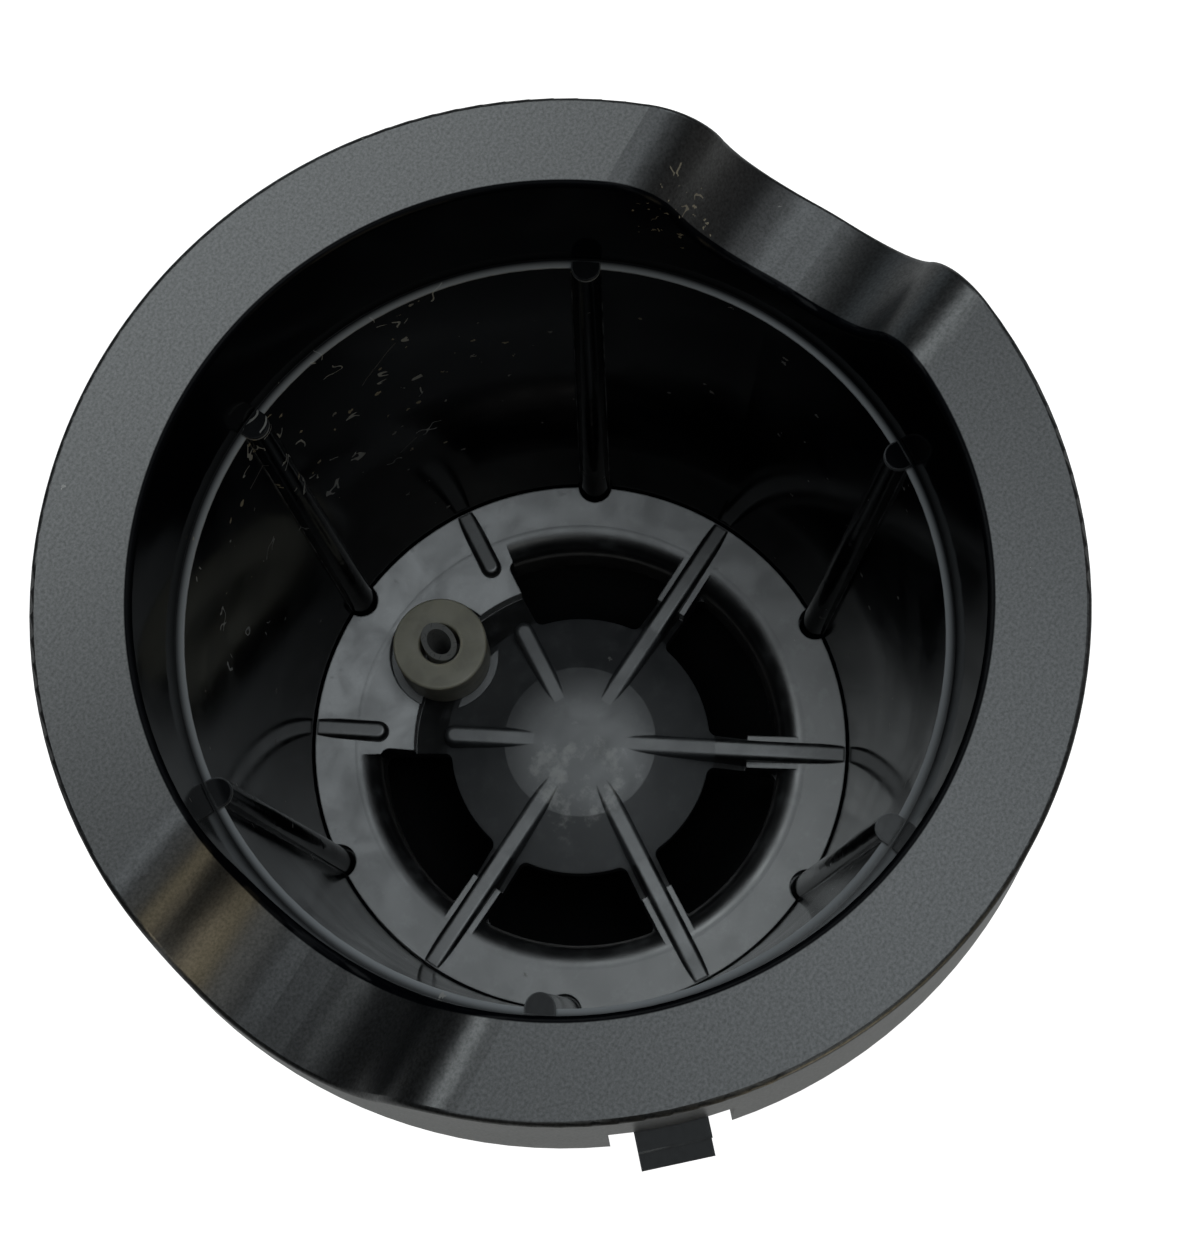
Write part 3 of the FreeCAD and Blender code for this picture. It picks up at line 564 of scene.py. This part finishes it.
@dataclass(frozen=True)
class Patch:
    """Small marks of one kind, all over a piece or, with a reach, about one place."""

    mark: Mark
    colour: Colour
    amount: float
    scale: float
    width: float
    strength: float = 1.0
    middle: Place = (0.0, 0.0, 0.0)
    reach: float = 0.0
    inside_only: bool = False

    def mask(self, sheet: NodeSheet, effects: EffectShelf) -> Socket:
        """Lay out the patch's mask.

        Args:
            sheet: Node tree of the material.
            effects: Shared effects.

        Returns:
            The mask's socket.
        """
        amount = self.amount
        if self.reach:
            x, y, z = self.middle
            near = effects.spot.put(sheet, X=x, Y=y, Z=z, Reach=self.reach)["Mask"]
            amount = sheet.product(near, self.amount)
        effect = effects.marks[self.mark]
        marks = effect.put(sheet, Scale=self.scale, Amount=amount, Width=self.width)["Mask"]
        shown = sheet.product(marks, self.strength)
        if self.inside_only:
            shown = sheet.product(shown, sheet.rest_of(effects.outward.put(sheet)["Mask"]))
        return shown


@dataclass(frozen=True)
class Zone:
    """Part of a moulding with its own roughness and base colour, inside a radius and between two
    heights; on the cup's ledge and the floor's dome the paler base is painted light.
    """

    radius: float
    roughness: float
    base: Colour
    grain: float
    height: float = 0.0
    top: float = 100.0
    soft: float = 0.05

    def mask(self, sheet: NodeSheet, effects: EffectShelf) -> Socket:
        """Lay out the zone's mask in a material."""
        return effects.zone.put(
            sheet, Radius=self.radius, Height=self.height, Top=self.top, Soft=self.soft)["Mask"]


@dataclass(frozen=True)
class Finish:
    """Surface of the pieces that share a slot of the record."""

    name: str
    base: Colour
    roughness: float

    def material(self, effects: EffectShelf) -> bpy.types.Material:
        """Make the finish's material.

        Args:
            effects: Shared effects.

        Returns:
            The material.
        """
        made, sheet = new_material(f"{self.name}_finish")
        shader = self.shade(sheet, effects)
        sheet.node("ShaderNodeOutputMaterial", {"Surface": shader.outputs[0]})
        return made

    def shade(self, sheet: NodeSheet, effects: EffectShelf) -> bpy.types.Node:
        """Lay out the nodes of the surface up to its shader."""
        raise NotImplementedError


@dataclass(frozen=True)
class PlasticFinish(Finish):
    """Black moulded plastic with grain, smears, a pale edge line (partly worn, partly painted
    highlight) and small marks.

    Its gloss comes from the base's shine and from a coat that is stronger on the grain's
    light tops. A zone has no coat, and coat_outside leaves it off the faces that look
    inward, so that polished inner walls stay dark.
    """

    roughness_spread: float
    grain_scale: float
    grain_height: float
    tone: float
    smear_scale: float
    edge_round: float
    wear_and_highlight: float
    patches: tuple[Patch, ...] = ()
    shine: float = 0.5
    ior: float = 1.5
    coat: float = 0.0
    coat_ior: float = 1.5
    coat_grain: float = 0.6
    coat_outside: bool = False
    wear_and_highlight_colour: Colour = (0.10, 0.095, 0.085)
    zone: Zone | None = None
    edge_samples: int = 6

    def shade(self, sheet: NodeSheet, effects: EffectShelf) -> bpy.types.Node:
        """Lay out the nodes of the surface.

        Args:
            sheet: Node tree of the material.
            effects: Shared effects.

        Returns:
            The shader.
        """
        grain = effects.grain.put(sheet, Scale=self.grain_scale)
        tone, height = grain["Tone"], grain["Height"]
        dark, light = paint(self.base, 1 - self.tone), paint(self.base, 1 + self.tone)
        colour = sheet.blend(tone, dark, light)
        smears = effects.smears.put(sheet, Scale=self.smear_scale)["Mask"]
        low, high = self.roughness - self.roughness_spread, self.roughness + self.roughness_spread
        rough = sheet.between(smears, low, high)
        inside = None
        if self.zone:
            inside = self.zone.mask(sheet, effects)
            change = sheet.product(inside, self.zone.roughness - self.roughness)
            rough = sheet.maths("ADD", rough, change)
            colour = sheet.blend(inside, colour, paint(self.zone.base))
            height = sheet.product(height, sheet.between(inside, 1.0, self.zone.grain))
        # Pale edge line: worn where handling rubs, and a painted highlight on the edges that catch
        # light.
        edge_line_patches = effects.wear_and_highlight.put(sheet, Width=self.edge_round * MM)["Mask"]
        colour = sheet.blend(sheet.product(edge_line_patches, self.wear_and_highlight), colour, paint(self.wear_and_highlight_colour))
        for patch in self.patches:
            mask = patch.mask(sheet, effects)
            colour = sheet.blend(mask, colour, paint(patch.colour))
            rough = sheet.maths("MAXIMUM", rough, mask)
        shader = sheet.node("ShaderNodeBsdfPrincipled", {
            "Base Color": colour, "Roughness": rough, "Normal": self.normal(sheet, height),
            "Specular IOR Level": self.shine, "IOR": self.ior,
            "Coat Roughness": self.roughness, "Coat IOR": self.coat_ior})
        if self.coat:
            weight = self.coat_weight(sheet, effects, tone, inside)
            sheet.feed(shader.inputs["Coat Weight"], weight)
        return shader

    def normal(self, sheet: NodeSheet, height: Socket) -> Socket:
        """Lay out the surface's direction, with rounded edges and grain.

        Args:
            sheet: Node tree of the material.
            height: Height of the grain.

        Returns:
            The direction's socket.
        """
        radius = self.edge_round * MM
        rounded = sheet.node("ShaderNodeBevel", {"Radius": radius}, samples=self.edge_samples)
        return sheet.node("ShaderNodeBump", {
            "Strength": 1.0, "Distance": self.grain_height * MM,
            "Height": height, "Normal": rounded.outputs[0]}).outputs[0]

    def coat_weight(self, sheet: NodeSheet, effects: EffectShelf, tone: Socket,
                    inside: Socket | None) -> Socket:
        """Lay out the strength of the coat, stronger on the grain's light tops.

        Args:
            sheet: Node tree of the material.
            effects: Shared effects.
            tone: Light and dark of the grain.
            inside: Mask of the zone with its own roughness and base colour, which has no coat.

        Returns:
            The strength's socket.
        """
        weight = sheet.between(tone, (1 - self.coat_grain) * self.coat, self.coat)
        if inside is not None:
            weight = sheet.product(weight, sheet.rest_of(inside))
        if self.coat_outside:
            weight = sheet.product(weight, effects.outward.put(sheet)["Mask"])
        return weight


@dataclass(frozen=True)
class SiliconeFinish(Finish):
    """Cloudy, soft, see-through rubber, with a painted highlight on its edges."""

    depth: float
    roughness_rise: float = 0.15
    smear_scale: float = 400.0
    smear_share: float = 0.8
    edge_highlight_width: float = 0.45
    edge_highlight_share: float = 2.0
    scatter: float = 0.6
    scatter_reach: Colour = (1.0, 0.9, 0.7)

    def shade(self, sheet: NodeSheet, effects: EffectShelf) -> bpy.types.Node:
        """Lay out the nodes of the surface.

        Args:
            sheet: Node tree of the material.
            effects: Shared effects.

        Returns:
            The shader.
        """
        smears = effects.smears.put(sheet, Scale=self.smear_scale)["Mask"]
        # Paler seal edges: a painted highlight where the rounded edges would catch light.
        edges = effects.wear_and_highlight.put(sheet, Width=self.edge_highlight_width * MM)["Mask"]
        colour = sheet.blend(smears, paint(self.base), paint(self.base, self.smear_share))
        rough = sheet.between(smears, self.roughness, self.roughness + self.roughness_rise)
        return sheet.node("ShaderNodeBsdfPrincipled", {
            "Base Color": sheet.blend(edges, colour, paint(self.base, self.edge_highlight_share)),
            "Roughness": rough,
            "Subsurface Weight": self.scatter,
            "Subsurface Radius": self.scatter_reach,
            "Subsurface Scale": self.depth * MM})


@dataclass(frozen=True)
class SteelFinish(Finish):
    """Ground stainless steel."""

    roughness_rise: float = 0.15
    smear_scale: float = 900.0
    line_scale: float = 2500.0
    line_amount: float = 0.6
    line_width: float = 0.05
    line_share: float = 0.6
    metallic: float = 0.6

    def shade(self, sheet: NodeSheet, effects: EffectShelf) -> bpy.types.Node:
        """Lay out the nodes of the surface.

        Args:
            sheet: Node tree of the material.
            effects: Shared effects.

        Returns:
            The shader.
        """
        smears = effects.smears.put(sheet, Scale=self.smear_scale)["Mask"]
        lines = effects.marks[Mark.SCRATCH].put(
            sheet, Scale=self.line_scale, Amount=self.line_amount, Width=self.line_width)["Mask"]
        rough = sheet.between(smears, self.roughness, self.roughness + self.roughness_rise)
        return sheet.node("ShaderNodeBsdfPrincipled", {
            "Base Color": sheet.blend(lines, paint(self.base), paint(self.base, self.line_share)),
            "Roughness": rough,
            "Metallic": self.metallic})


BEIGE: Colour = (0.34, 0.30, 0.22)
PALE: Colour = (0.30, 0.29, 0.27)
FIBRE: Colour = (0.42, 0.42, 0.40)
DIP_SHOULDER: Place = (25.4, 8.0, 74.0)

RIM_PLASTIC = PlasticFinish(
    name="rim_plastic", base=(0.0042, 0.0045, 0.0049), roughness=0.32, roughness_spread=0.02,
    grain_scale=5000.0, grain_height=0.004, tone=0.9, smear_scale=90.0, edge_round=0.3, wear_and_highlight=0.2,
    patches=(
        Patch(Mark.DUST, PALE, amount=0.006, scale=1400.0, width=0.22, strength=0.5),
        Patch(Mark.DUST, BEIGE, amount=0.30, scale=2200.0, width=0.38, strength=0.6,
              middle=DIP_SHOULDER, reach=4.0),
        Patch(Mark.LINT, BEIGE, amount=0.45, scale=700.0, width=0.02, strength=0.5,
              middle=DIP_SHOULDER, reach=4.0),
    ),
    shine=0.04, coat=0.9, coat_ior=1.98, coat_grain=0.36,
    zone=Zone(radius=26.4, roughness=0.08, base=(0.0013, 0.0016, 0.0024), grain=0.1))
CUP_PLASTIC = PlasticFinish(
    name="cup_plastic", base=(0.0018, 0.0022, 0.0032), roughness=0.12, roughness_spread=0.04,
    grain_scale=2500.0, grain_height=0.0004, tone=0.3, smear_scale=140.0, edge_round=0.2, wear_and_highlight=0.5,
    patches=(
        Patch(Mark.DUST, PALE, amount=0.03, scale=1200.0, width=0.28, strength=0.7),
        Patch(Mark.DUST, BEIGE, amount=0.07, scale=1300.0, width=0.34, strength=0.8,
              middle=(6.0, 24.0, 62.0), reach=26.0, inside_only=True),
        Patch(Mark.LINT, FIBRE, amount=0.50, scale=360.0, width=0.016, strength=0.75,
              middle=(4.0, 26.0, 60.0), reach=22.0, inside_only=True),
        Patch(Mark.SCRATCH, PALE, amount=0.10, scale=200.0, width=0.010, strength=0.3,
              middle=(6.0, 24.0, 55.0), reach=32.0, inside_only=True),
    ),
    shine=0.08, coat=1.0, coat_ior=1.55, coat_grain=0.2, coat_outside=True,
    # The pale edge line on the cup is a painted highlight, such as the bright line along the
    # ledge's inner edge.
    wear_and_highlight_colour=(0.40, 0.41, 0.42),
    # The ledge zone's pale grey base is painted sheen: the light that the thin ledge catches all
    # round, not a colour of the plastic.
    zone=Zone(radius=25.35, roughness=0.42, base=(0.24, 0.25, 0.26), grain=4.0,
              height=66.6, top=66.8, soft=0.25))
FLOOR_PLASTIC = PlasticFinish(
    name="floor_plastic", base=(0.0035, 0.0038, 0.0044), roughness=0.35, roughness_spread=0.05,
    grain_scale=3500.0, grain_height=0.003, tone=0.4, smear_scale=260.0, edge_round=0.15, wear_and_highlight=0.35,
    patches=(
        Patch(Mark.STAIN_AND_SHEEN, (0.09, 0.093, 0.096), amount=0.55, scale=600.0, width=0.6,
              strength=0.4),
        # Pale patch on the crown: a painted highlight standing in for the sheen on the crown, not
        # dirt.
        Patch(Mark.STAIN_AND_SHEEN, (0.50, 0.49, 0.46), amount=0.62, scale=600.0, width=0.55,
              strength=0.5, middle=(-2.8, -1.6, 23.8), reach=7.0),
        Patch(Mark.DUST, PALE, amount=0.02, scale=900.0, width=0.2, strength=0.6),
    ),
    # The pale edge line on the plate is a painted highlight on its outer edge and rib edges.
    shine=1.0, ior=1.68, wear_and_highlight_colour=(0.25, 0.26, 0.27),
    # The dome zone's grey base, paler than the rest of the plate, is painted light that brightens
    # the dome.
    zone=Zone(radius=11.6, roughness=0.44, base=(0.028, 0.030, 0.033), grain=1.0))
FUNNEL_PLASTIC = PlasticFinish(
    name="funnel_plastic", base=(0.0060, 0.0063, 0.0068), roughness=0.38, roughness_spread=0.05,
    grain_scale=4500.0, grain_height=0.004, tone=0.4, smear_scale=110.0, edge_round=0.2, wear_and_highlight=0.1,
    patches=(Patch(Mark.DUST, PALE, amount=0.01, scale=1100.0, width=0.2, strength=0.6),),
    shine=0.1, coat=1.0, coat_ior=1.7, coat_grain=0.3, coat_outside=True)
RING_RUBBER = PlasticFinish(
    name="ring_rubber", base=(0.006, 0.006, 0.006), roughness=0.55, roughness_spread=0.08,
    grain_scale=5000.0, grain_height=0.006, tone=0.4, smear_scale=200.0, edge_round=0.05, wear_and_highlight=0.0,
    patches=(Patch(Mark.DUST, PALE, amount=0.03, scale=900.0, width=0.2, strength=0.6),))
SEAL_SILICONE = SiliconeFinish(
    name="seal_silicone", base=(0.42, 0.395, 0.310), roughness=0.35, depth=1.2)
NEEDLE_STEEL = SteelFinish(name="needle_steel", base=(0.55, 0.55, 0.54), roughness=0.40)


def dress_node(node: str, finish: Finish, effects: EffectShelf) -> None:
    """Give a piece of the frame its finish.

    Args:
        node: Name of the piece.
        finish: Its finish.
        effects: Shared effects.
    """
    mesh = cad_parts[node].data
    mesh.materials.clear()
    mesh.materials.append(effects.material_of(finish))
    log.info("%s dressed in %s", node, finish.name)


def soft_section(inner: float, outer: float, low: float, high: float, edge: float,
                 steps: int = 8) -> Section:
    """Draw the section of a soft ring with rounded edges.

    Args:
        inner: Radius of the hole.
        outer: Radius of the outside.
        low: Height of the lower face.
        high: Height of the upper face.
        edge: Rounding of the four edges.
        steps: Points on each rounding.

    Returns:
        Radius and height of each point, in order round the section.
    """
    corners = ((outer - edge, low + edge, -QUARTER), (outer - edge, high - edge, 0.0),
               (inner + edge, high - edge, QUARTER), (inner + edge, low + edge, 2 * QUARTER))
    points = []
    for radius, height, start in corners:
        for step in range(steps + 1):
            angle = math.radians(start + QUARTER * step / steps)
            points.append((radius + edge * math.cos(angle), height + edge * math.sin(angle)))
    return points


def lathe(name: str, section: Section, middle: tuple[float, float] = (0.0, 0.0),
          steps: int = 144) -> bpy.types.Object:
    """Turn a closed section about an upright axis.

    Args:
        name: Name of the piece.
        section: Radius and height of each point.
        middle: Place of the axis.
        steps: Sides of the turned piece.

    Returns:
        The new piece.
    """
    count = len(section)
    across, along = middle
    points, faces = [], []
    for step in range(steps):
        angle = 2 * math.pi * step / steps
        cosine, sine = math.cos(angle), math.sin(angle)
        points += [((across + radius * cosine) * MM, (along + radius * sine) * MM, height * MM)
                   for radius, height in section]
        here, there = step * count, (step + 1) % steps * count
        for point in range(count):
            after = (point + 1) % count
            faces.append((here + point, there + point, there + after, here + after))
    mesh = bpy.data.meshes.new(name)
    mesh.from_pydata(points, [], faces)
    mesh.shade_smooth()
    piece = bpy.data.objects.new(name, mesh)
    bpy.context.scene.collection.objects.link(piece)
    return piece


def seat_soft(piece: bpy.types.Object, node: str, finish: Finish, effects: EffectShelf) -> None:
    """Put a soft piece in the place of the frame's plain one and dress it.

    Args:
        piece: The soft piece.
        node: Piece of the frame that it stands for.
        finish: Its finish.
        effects: Shared effects.
    """
    piece.data.materials.append(effects.material_of(finish))
    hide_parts(node)
    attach(piece, HOLDER)
    log.info("%s built and dressed in %s", piece.name, finish.name)


@dataclass
class RimRing:
    """Grip ring with its flared skirt and finger dips."""

    node: str = "rim_ring"

    def dress(self, effects: EffectShelf) -> None:
        """Dress the ring in grained matte plastic."""
        dress_node(self.node, RIM_PLASTIC, effects)


@dataclass
class PodCup:
    """Polished cup with its ledge, wall ribs and lugs."""

    node: str = "pod_cup"

    def dress(self, effects: EffectShelf) -> None:
        """Dress the cup in polished plastic with dust and lint."""
        dress_node(self.node, CUP_PLASTIC, effects)


@dataclass
class NeedleFloor:
    """Floor plate with its needle, seal and retainer."""

    plate: str = "needle_plate"
    retainer: str = "needle_retainer"
    seal: str = "needle_seal"
    needle: str = "piercing_needle"
    needle_offset: float = 14.2
    seal_radius: float = 3.99
    seal_bore: float = 1.72
    seal_foot: float = 22.11
    seal_top: float = 27.39
    seal_edge: float = 0.22

    def dress(self, effects: EffectShelf) -> None:
        """Dress the plate and the pieces that it carries.

        Args:
            effects: Shared effects.
        """
        dress_node(self.plate, FLOOR_PLASTIC, effects)
        dress_node(self.retainer, FLOOR_PLASTIC, effects)
        dress_node(self.needle, NEEDLE_STEEL, effects)
        self.build_seal(effects)

    def build_seal(self, effects: EffectShelf) -> None:
        """Turn the soft sleeve that seals round the needle.

        Args:
            effects: Shared effects.
        """
        section = soft_section(
            self.seal_bore, self.seal_radius, self.seal_foot, self.seal_top, self.seal_edge)
        sleeve = lathe("seal_sleeve", section, (0.0, self.needle_offset))
        seat_soft(sleeve, self.seal, SEAL_SILICONE, effects)


@dataclass
class OutletFunnel:
    """Pull-off funnel and the sealing ring above it."""

    funnel: str = "outlet_funnel"
    ring: str = "collar_o_ring"
    ring_inner: float = 24.86
    ring_outer: float = 26.29
    ring_low: float = 21.28
    ring_high: float = 22.72
    ring_edge: float = 0.71

    def dress(self, effects: EffectShelf) -> None:
        """Dress the funnel in satin plastic and seat the ring above it."""
        dress_node(self.funnel, FUNNEL_PLASTIC, effects)
        self.build_ring(effects)

    def build_ring(self, effects: EffectShelf) -> None:
        """Turn the soft ring in the groove of the cup's collar.

        Args:
            effects: Shared effects.
        """
        section = soft_section(
            self.ring_inner, self.ring_outer, self.ring_low, self.ring_high, self.ring_edge)
        seat_soft(lathe("sealing_ring", section), self.ring, RING_RUBBER, effects)


@dataclass(frozen=True)
class SoftBox:
    """One soft rectangular light, placed by its angles from the part's axis."""

    name: str
    tilt: float
    azimuth: float
    wide: float
    deep: float
    radiance: float
    colour: Colour = WHITE
    away: float = 900.0


DAYLIGHT: Colour = (0.92, 1.0, 1.04)
PANEL_SIDE = 324.0
LIGHTS = (
    SoftBox("overhead", tilt=7.0, azimuth=185.0, wide=340.0, deep=560.0,
            radiance=1.0, colour=DAYLIGHT),
    SoftBox("right_panel", tilt=15.0, azimuth=325.0, wide=520.0, deep=PANEL_SIDE,
            radiance=1.55, colour=DAYLIGHT),
    SoftBox("far_panel", tilt=30.0, azimuth=72.0, wide=780.0, deep=PANEL_SIDE,
            radiance=2.5, colour=(0.93, 1.0, 1.02)),
    SoftBox("window", tilt=46.0, azimuth=4.0, wide=340.0, deep=340.0,
            radiance=1.8, colour=DAYLIGHT),
    SoftBox("right_wall", tilt=48.0, azimuth=332.0, wide=PANEL_SIDE, deep=PANEL_SIDE,
            radiance=0.6, colour=(0.94, 1.0, 1.03)),
    SoftBox("front_wall", tilt=42.0, azimuth=240.0, wide=380.0, deep=420.0,
            radiance=0.75, colour=(0.97, 1.0, 0.97)),
    SoftBox("lamp", tilt=66.0, azimuth=256.0, wide=480.0, deep=PANEL_SIDE,
            radiance=1.0, colour=(1.0, 0.86, 0.55)),
    SoftBox("low_lamp", tilt=84.0, azimuth=244.0, wide=420.0, deep=PANEL_SIDE,
            radiance=1.8, colour=(1.0, 0.86, 0.60)),
    SoftBox("side_wall", tilt=76.0, azimuth=300.0, wide=560.0, deep=500.0, radiance=0.10),
    SoftBox("far_wall", tilt=84.0, azimuth=60.0, wide=PANEL_SIDE, deep=PANEL_SIDE,
            radiance=0.3, colour=(0.85, 1.0, 1.08)),
)


@dataclass
class Studio:
    """Pale floor, soft lights and the camera."""

    floor_half: float = 4000.0
    floor_share: float = 0.5
    floor_roughness: float = 0.8
    floor_glow: float = 0.12
    floor_white: float = 1.0
    floor_drop: float = 31.0
    room: Colour = (0.02, 0.02, 0.02)
    lights: tuple[SoftBox, ...] = LIGHTS
    aim: Place = (0.0, 0.0, 50.0)
    eye: Place = (-24.6, -21.33, 198.13)
    back: Place = (-0.193, -0.146, 0.970)
    up: Place = (0.814, 0.528, 0.242)
    focal_pixels: float = 2062.55
    middle_x: float = 596.63
    middle_y: float = 615.01
    nearest: float = 10.0
    farthest: float = 100000.0

    def build(self) -> None:
        """Make the floor, the lights and the camera."""
        self.lay_floor()
        for light in self.lights:
            self.hang(light)
        self.fill_room()
        self.set_camera()

    def lay_floor(self) -> None:
        """Lay the floor, low enough for the pulled funnel."""
        half, low = self.floor_half * MM, -self.floor_drop * MM
        corners = [(-half, -half, low), (half, -half, low), (half, half, low), (-half, half, low)]
        mesh = bpy.data.meshes.new("floor")
        mesh.from_pydata(corners, [], [(0, 1, 2, 3)])
        mesh.materials.append(self.floor_material())
        floor = bpy.data.objects.new("floor", mesh)
        bpy.context.scene.collection.objects.link(floor)

    def floor_material(self) -> bpy.types.Material:
        """Make the floor's plain white, whiter to the eye than to the part and clear from below.

        Returns:
            The material.
        """
        made, sheet = new_material("floor_white")
        seen = sheet.node("ShaderNodeLightPath").outputs["Is Camera Ray"]
        glow = sheet.blend(seen, paint(WHITE, self.floor_glow), paint(WHITE, self.floor_white))
        shader = sheet.node("ShaderNodeBsdfPrincipled", {
            "Base Color": paint(WHITE, self.floor_share), "Roughness": self.floor_roughness,
            "Emission Color": glow, "Emission Strength": 1.0})
        under = sheet.node("ShaderNodeNewGeometry").outputs["Backfacing"]
        clear = sheet.node("ShaderNodeBsdfTransparent")
        shaders = dict(enumerate((under, shader.outputs[0], clear.outputs[0])))
        shown = sheet.node("ShaderNodeMixShader", shaders)
        sheet.node("ShaderNodeOutputMaterial", {"Surface": shown.outputs[0]})
        return made

    def hang(self, box: SoftBox) -> None:
        """Hang one soft light so that it faces the part.

        Args:
            box: The light.
        """
        light = bpy.data.lights.new(box.name, "AREA")
        light.shape = "RECTANGLE"
        light.size = box.wide * MM
        light.size_y = box.deep * MM
        light.color = box.colour
        light.energy = box.radiance * math.pi * light.size * light.size_y
        lamp = bpy.data.objects.new(box.name, light)
        lamp.visible_camera = False
        tilt, azimuth = math.radians(box.tilt), math.radians(box.azimuth)
        outward = Vector((
            math.sin(tilt) * math.cos(azimuth), math.sin(tilt) * math.sin(azimuth),
            math.cos(tilt)))
        place = (Vector(self.aim) + outward * box.away) * MM
        turn = outward.to_track_quat("Z", "Y").to_matrix().to_4x4()
        lamp.matrix_world = Matrix.Translation(place) @ turn
        bpy.context.scene.collection.objects.link(lamp)

    def fill_room(self) -> None:
        """Fill the room with weak even light, white to the eye."""
        world = bpy.data.worlds.new("room")
        world.use_nodes = True
        sheet = NodeSheet(world.node_tree)
        seen = sheet.node("ShaderNodeLightPath").outputs["Is Camera Ray"]
        colour = sheet.blend(seen, paint(self.room), paint(WHITE))
        shade = sheet.node("ShaderNodeBackground", {"Color": colour, "Strength": 1.0})
        sheet.node("ShaderNodeOutputWorld", {"Surface": shade.outputs[0]})
        bpy.context.scene.world = world
        bpy.context.scene.view_settings.view_transform = "Standard"

    def set_camera(self) -> None:
        """Set the camera at the photograph's view."""
        lens = bpy.data.cameras.new("camera")
        long_side = max(IMAGE_WIDTH, IMAGE_HEIGHT)
        lens.sensor_width = SENSOR_WIDTH
        lens.lens = self.focal_pixels / long_side * SENSOR_WIDTH
        lens.shift_x = (IMAGE_WIDTH / 2 - self.middle_x) / long_side
        lens.shift_y = (self.middle_y - IMAGE_HEIGHT / 2) / long_side
        lens.clip_start = self.nearest * MM
        lens.clip_end = self.farthest * MM
        camera = bpy.data.objects.new("camera", lens)
        back = Vector(self.back).normalized()
        right = Vector(self.up).cross(back).normalized()
        turn = Matrix((right, back.cross(right), back)).transposed()
        camera.matrix_world = Matrix.Translation(Vector(self.eye) * MM) @ turn.to_4x4()
        bpy.context.scene.collection.objects.link(camera)
        bpy.context.scene.camera = camera


def main() -> None:
    """Dress the part and light it."""
    logging.basicConfig(level=logging.INFO, format="%(message)s")
    effects = EffectShelf()
    for piece in (RimRing(), PodCup(), NeedleFloor(), OutletFunnel()):
        piece.dress(effects)
    Studio().build()


if __name__ == "__main__":
    main()
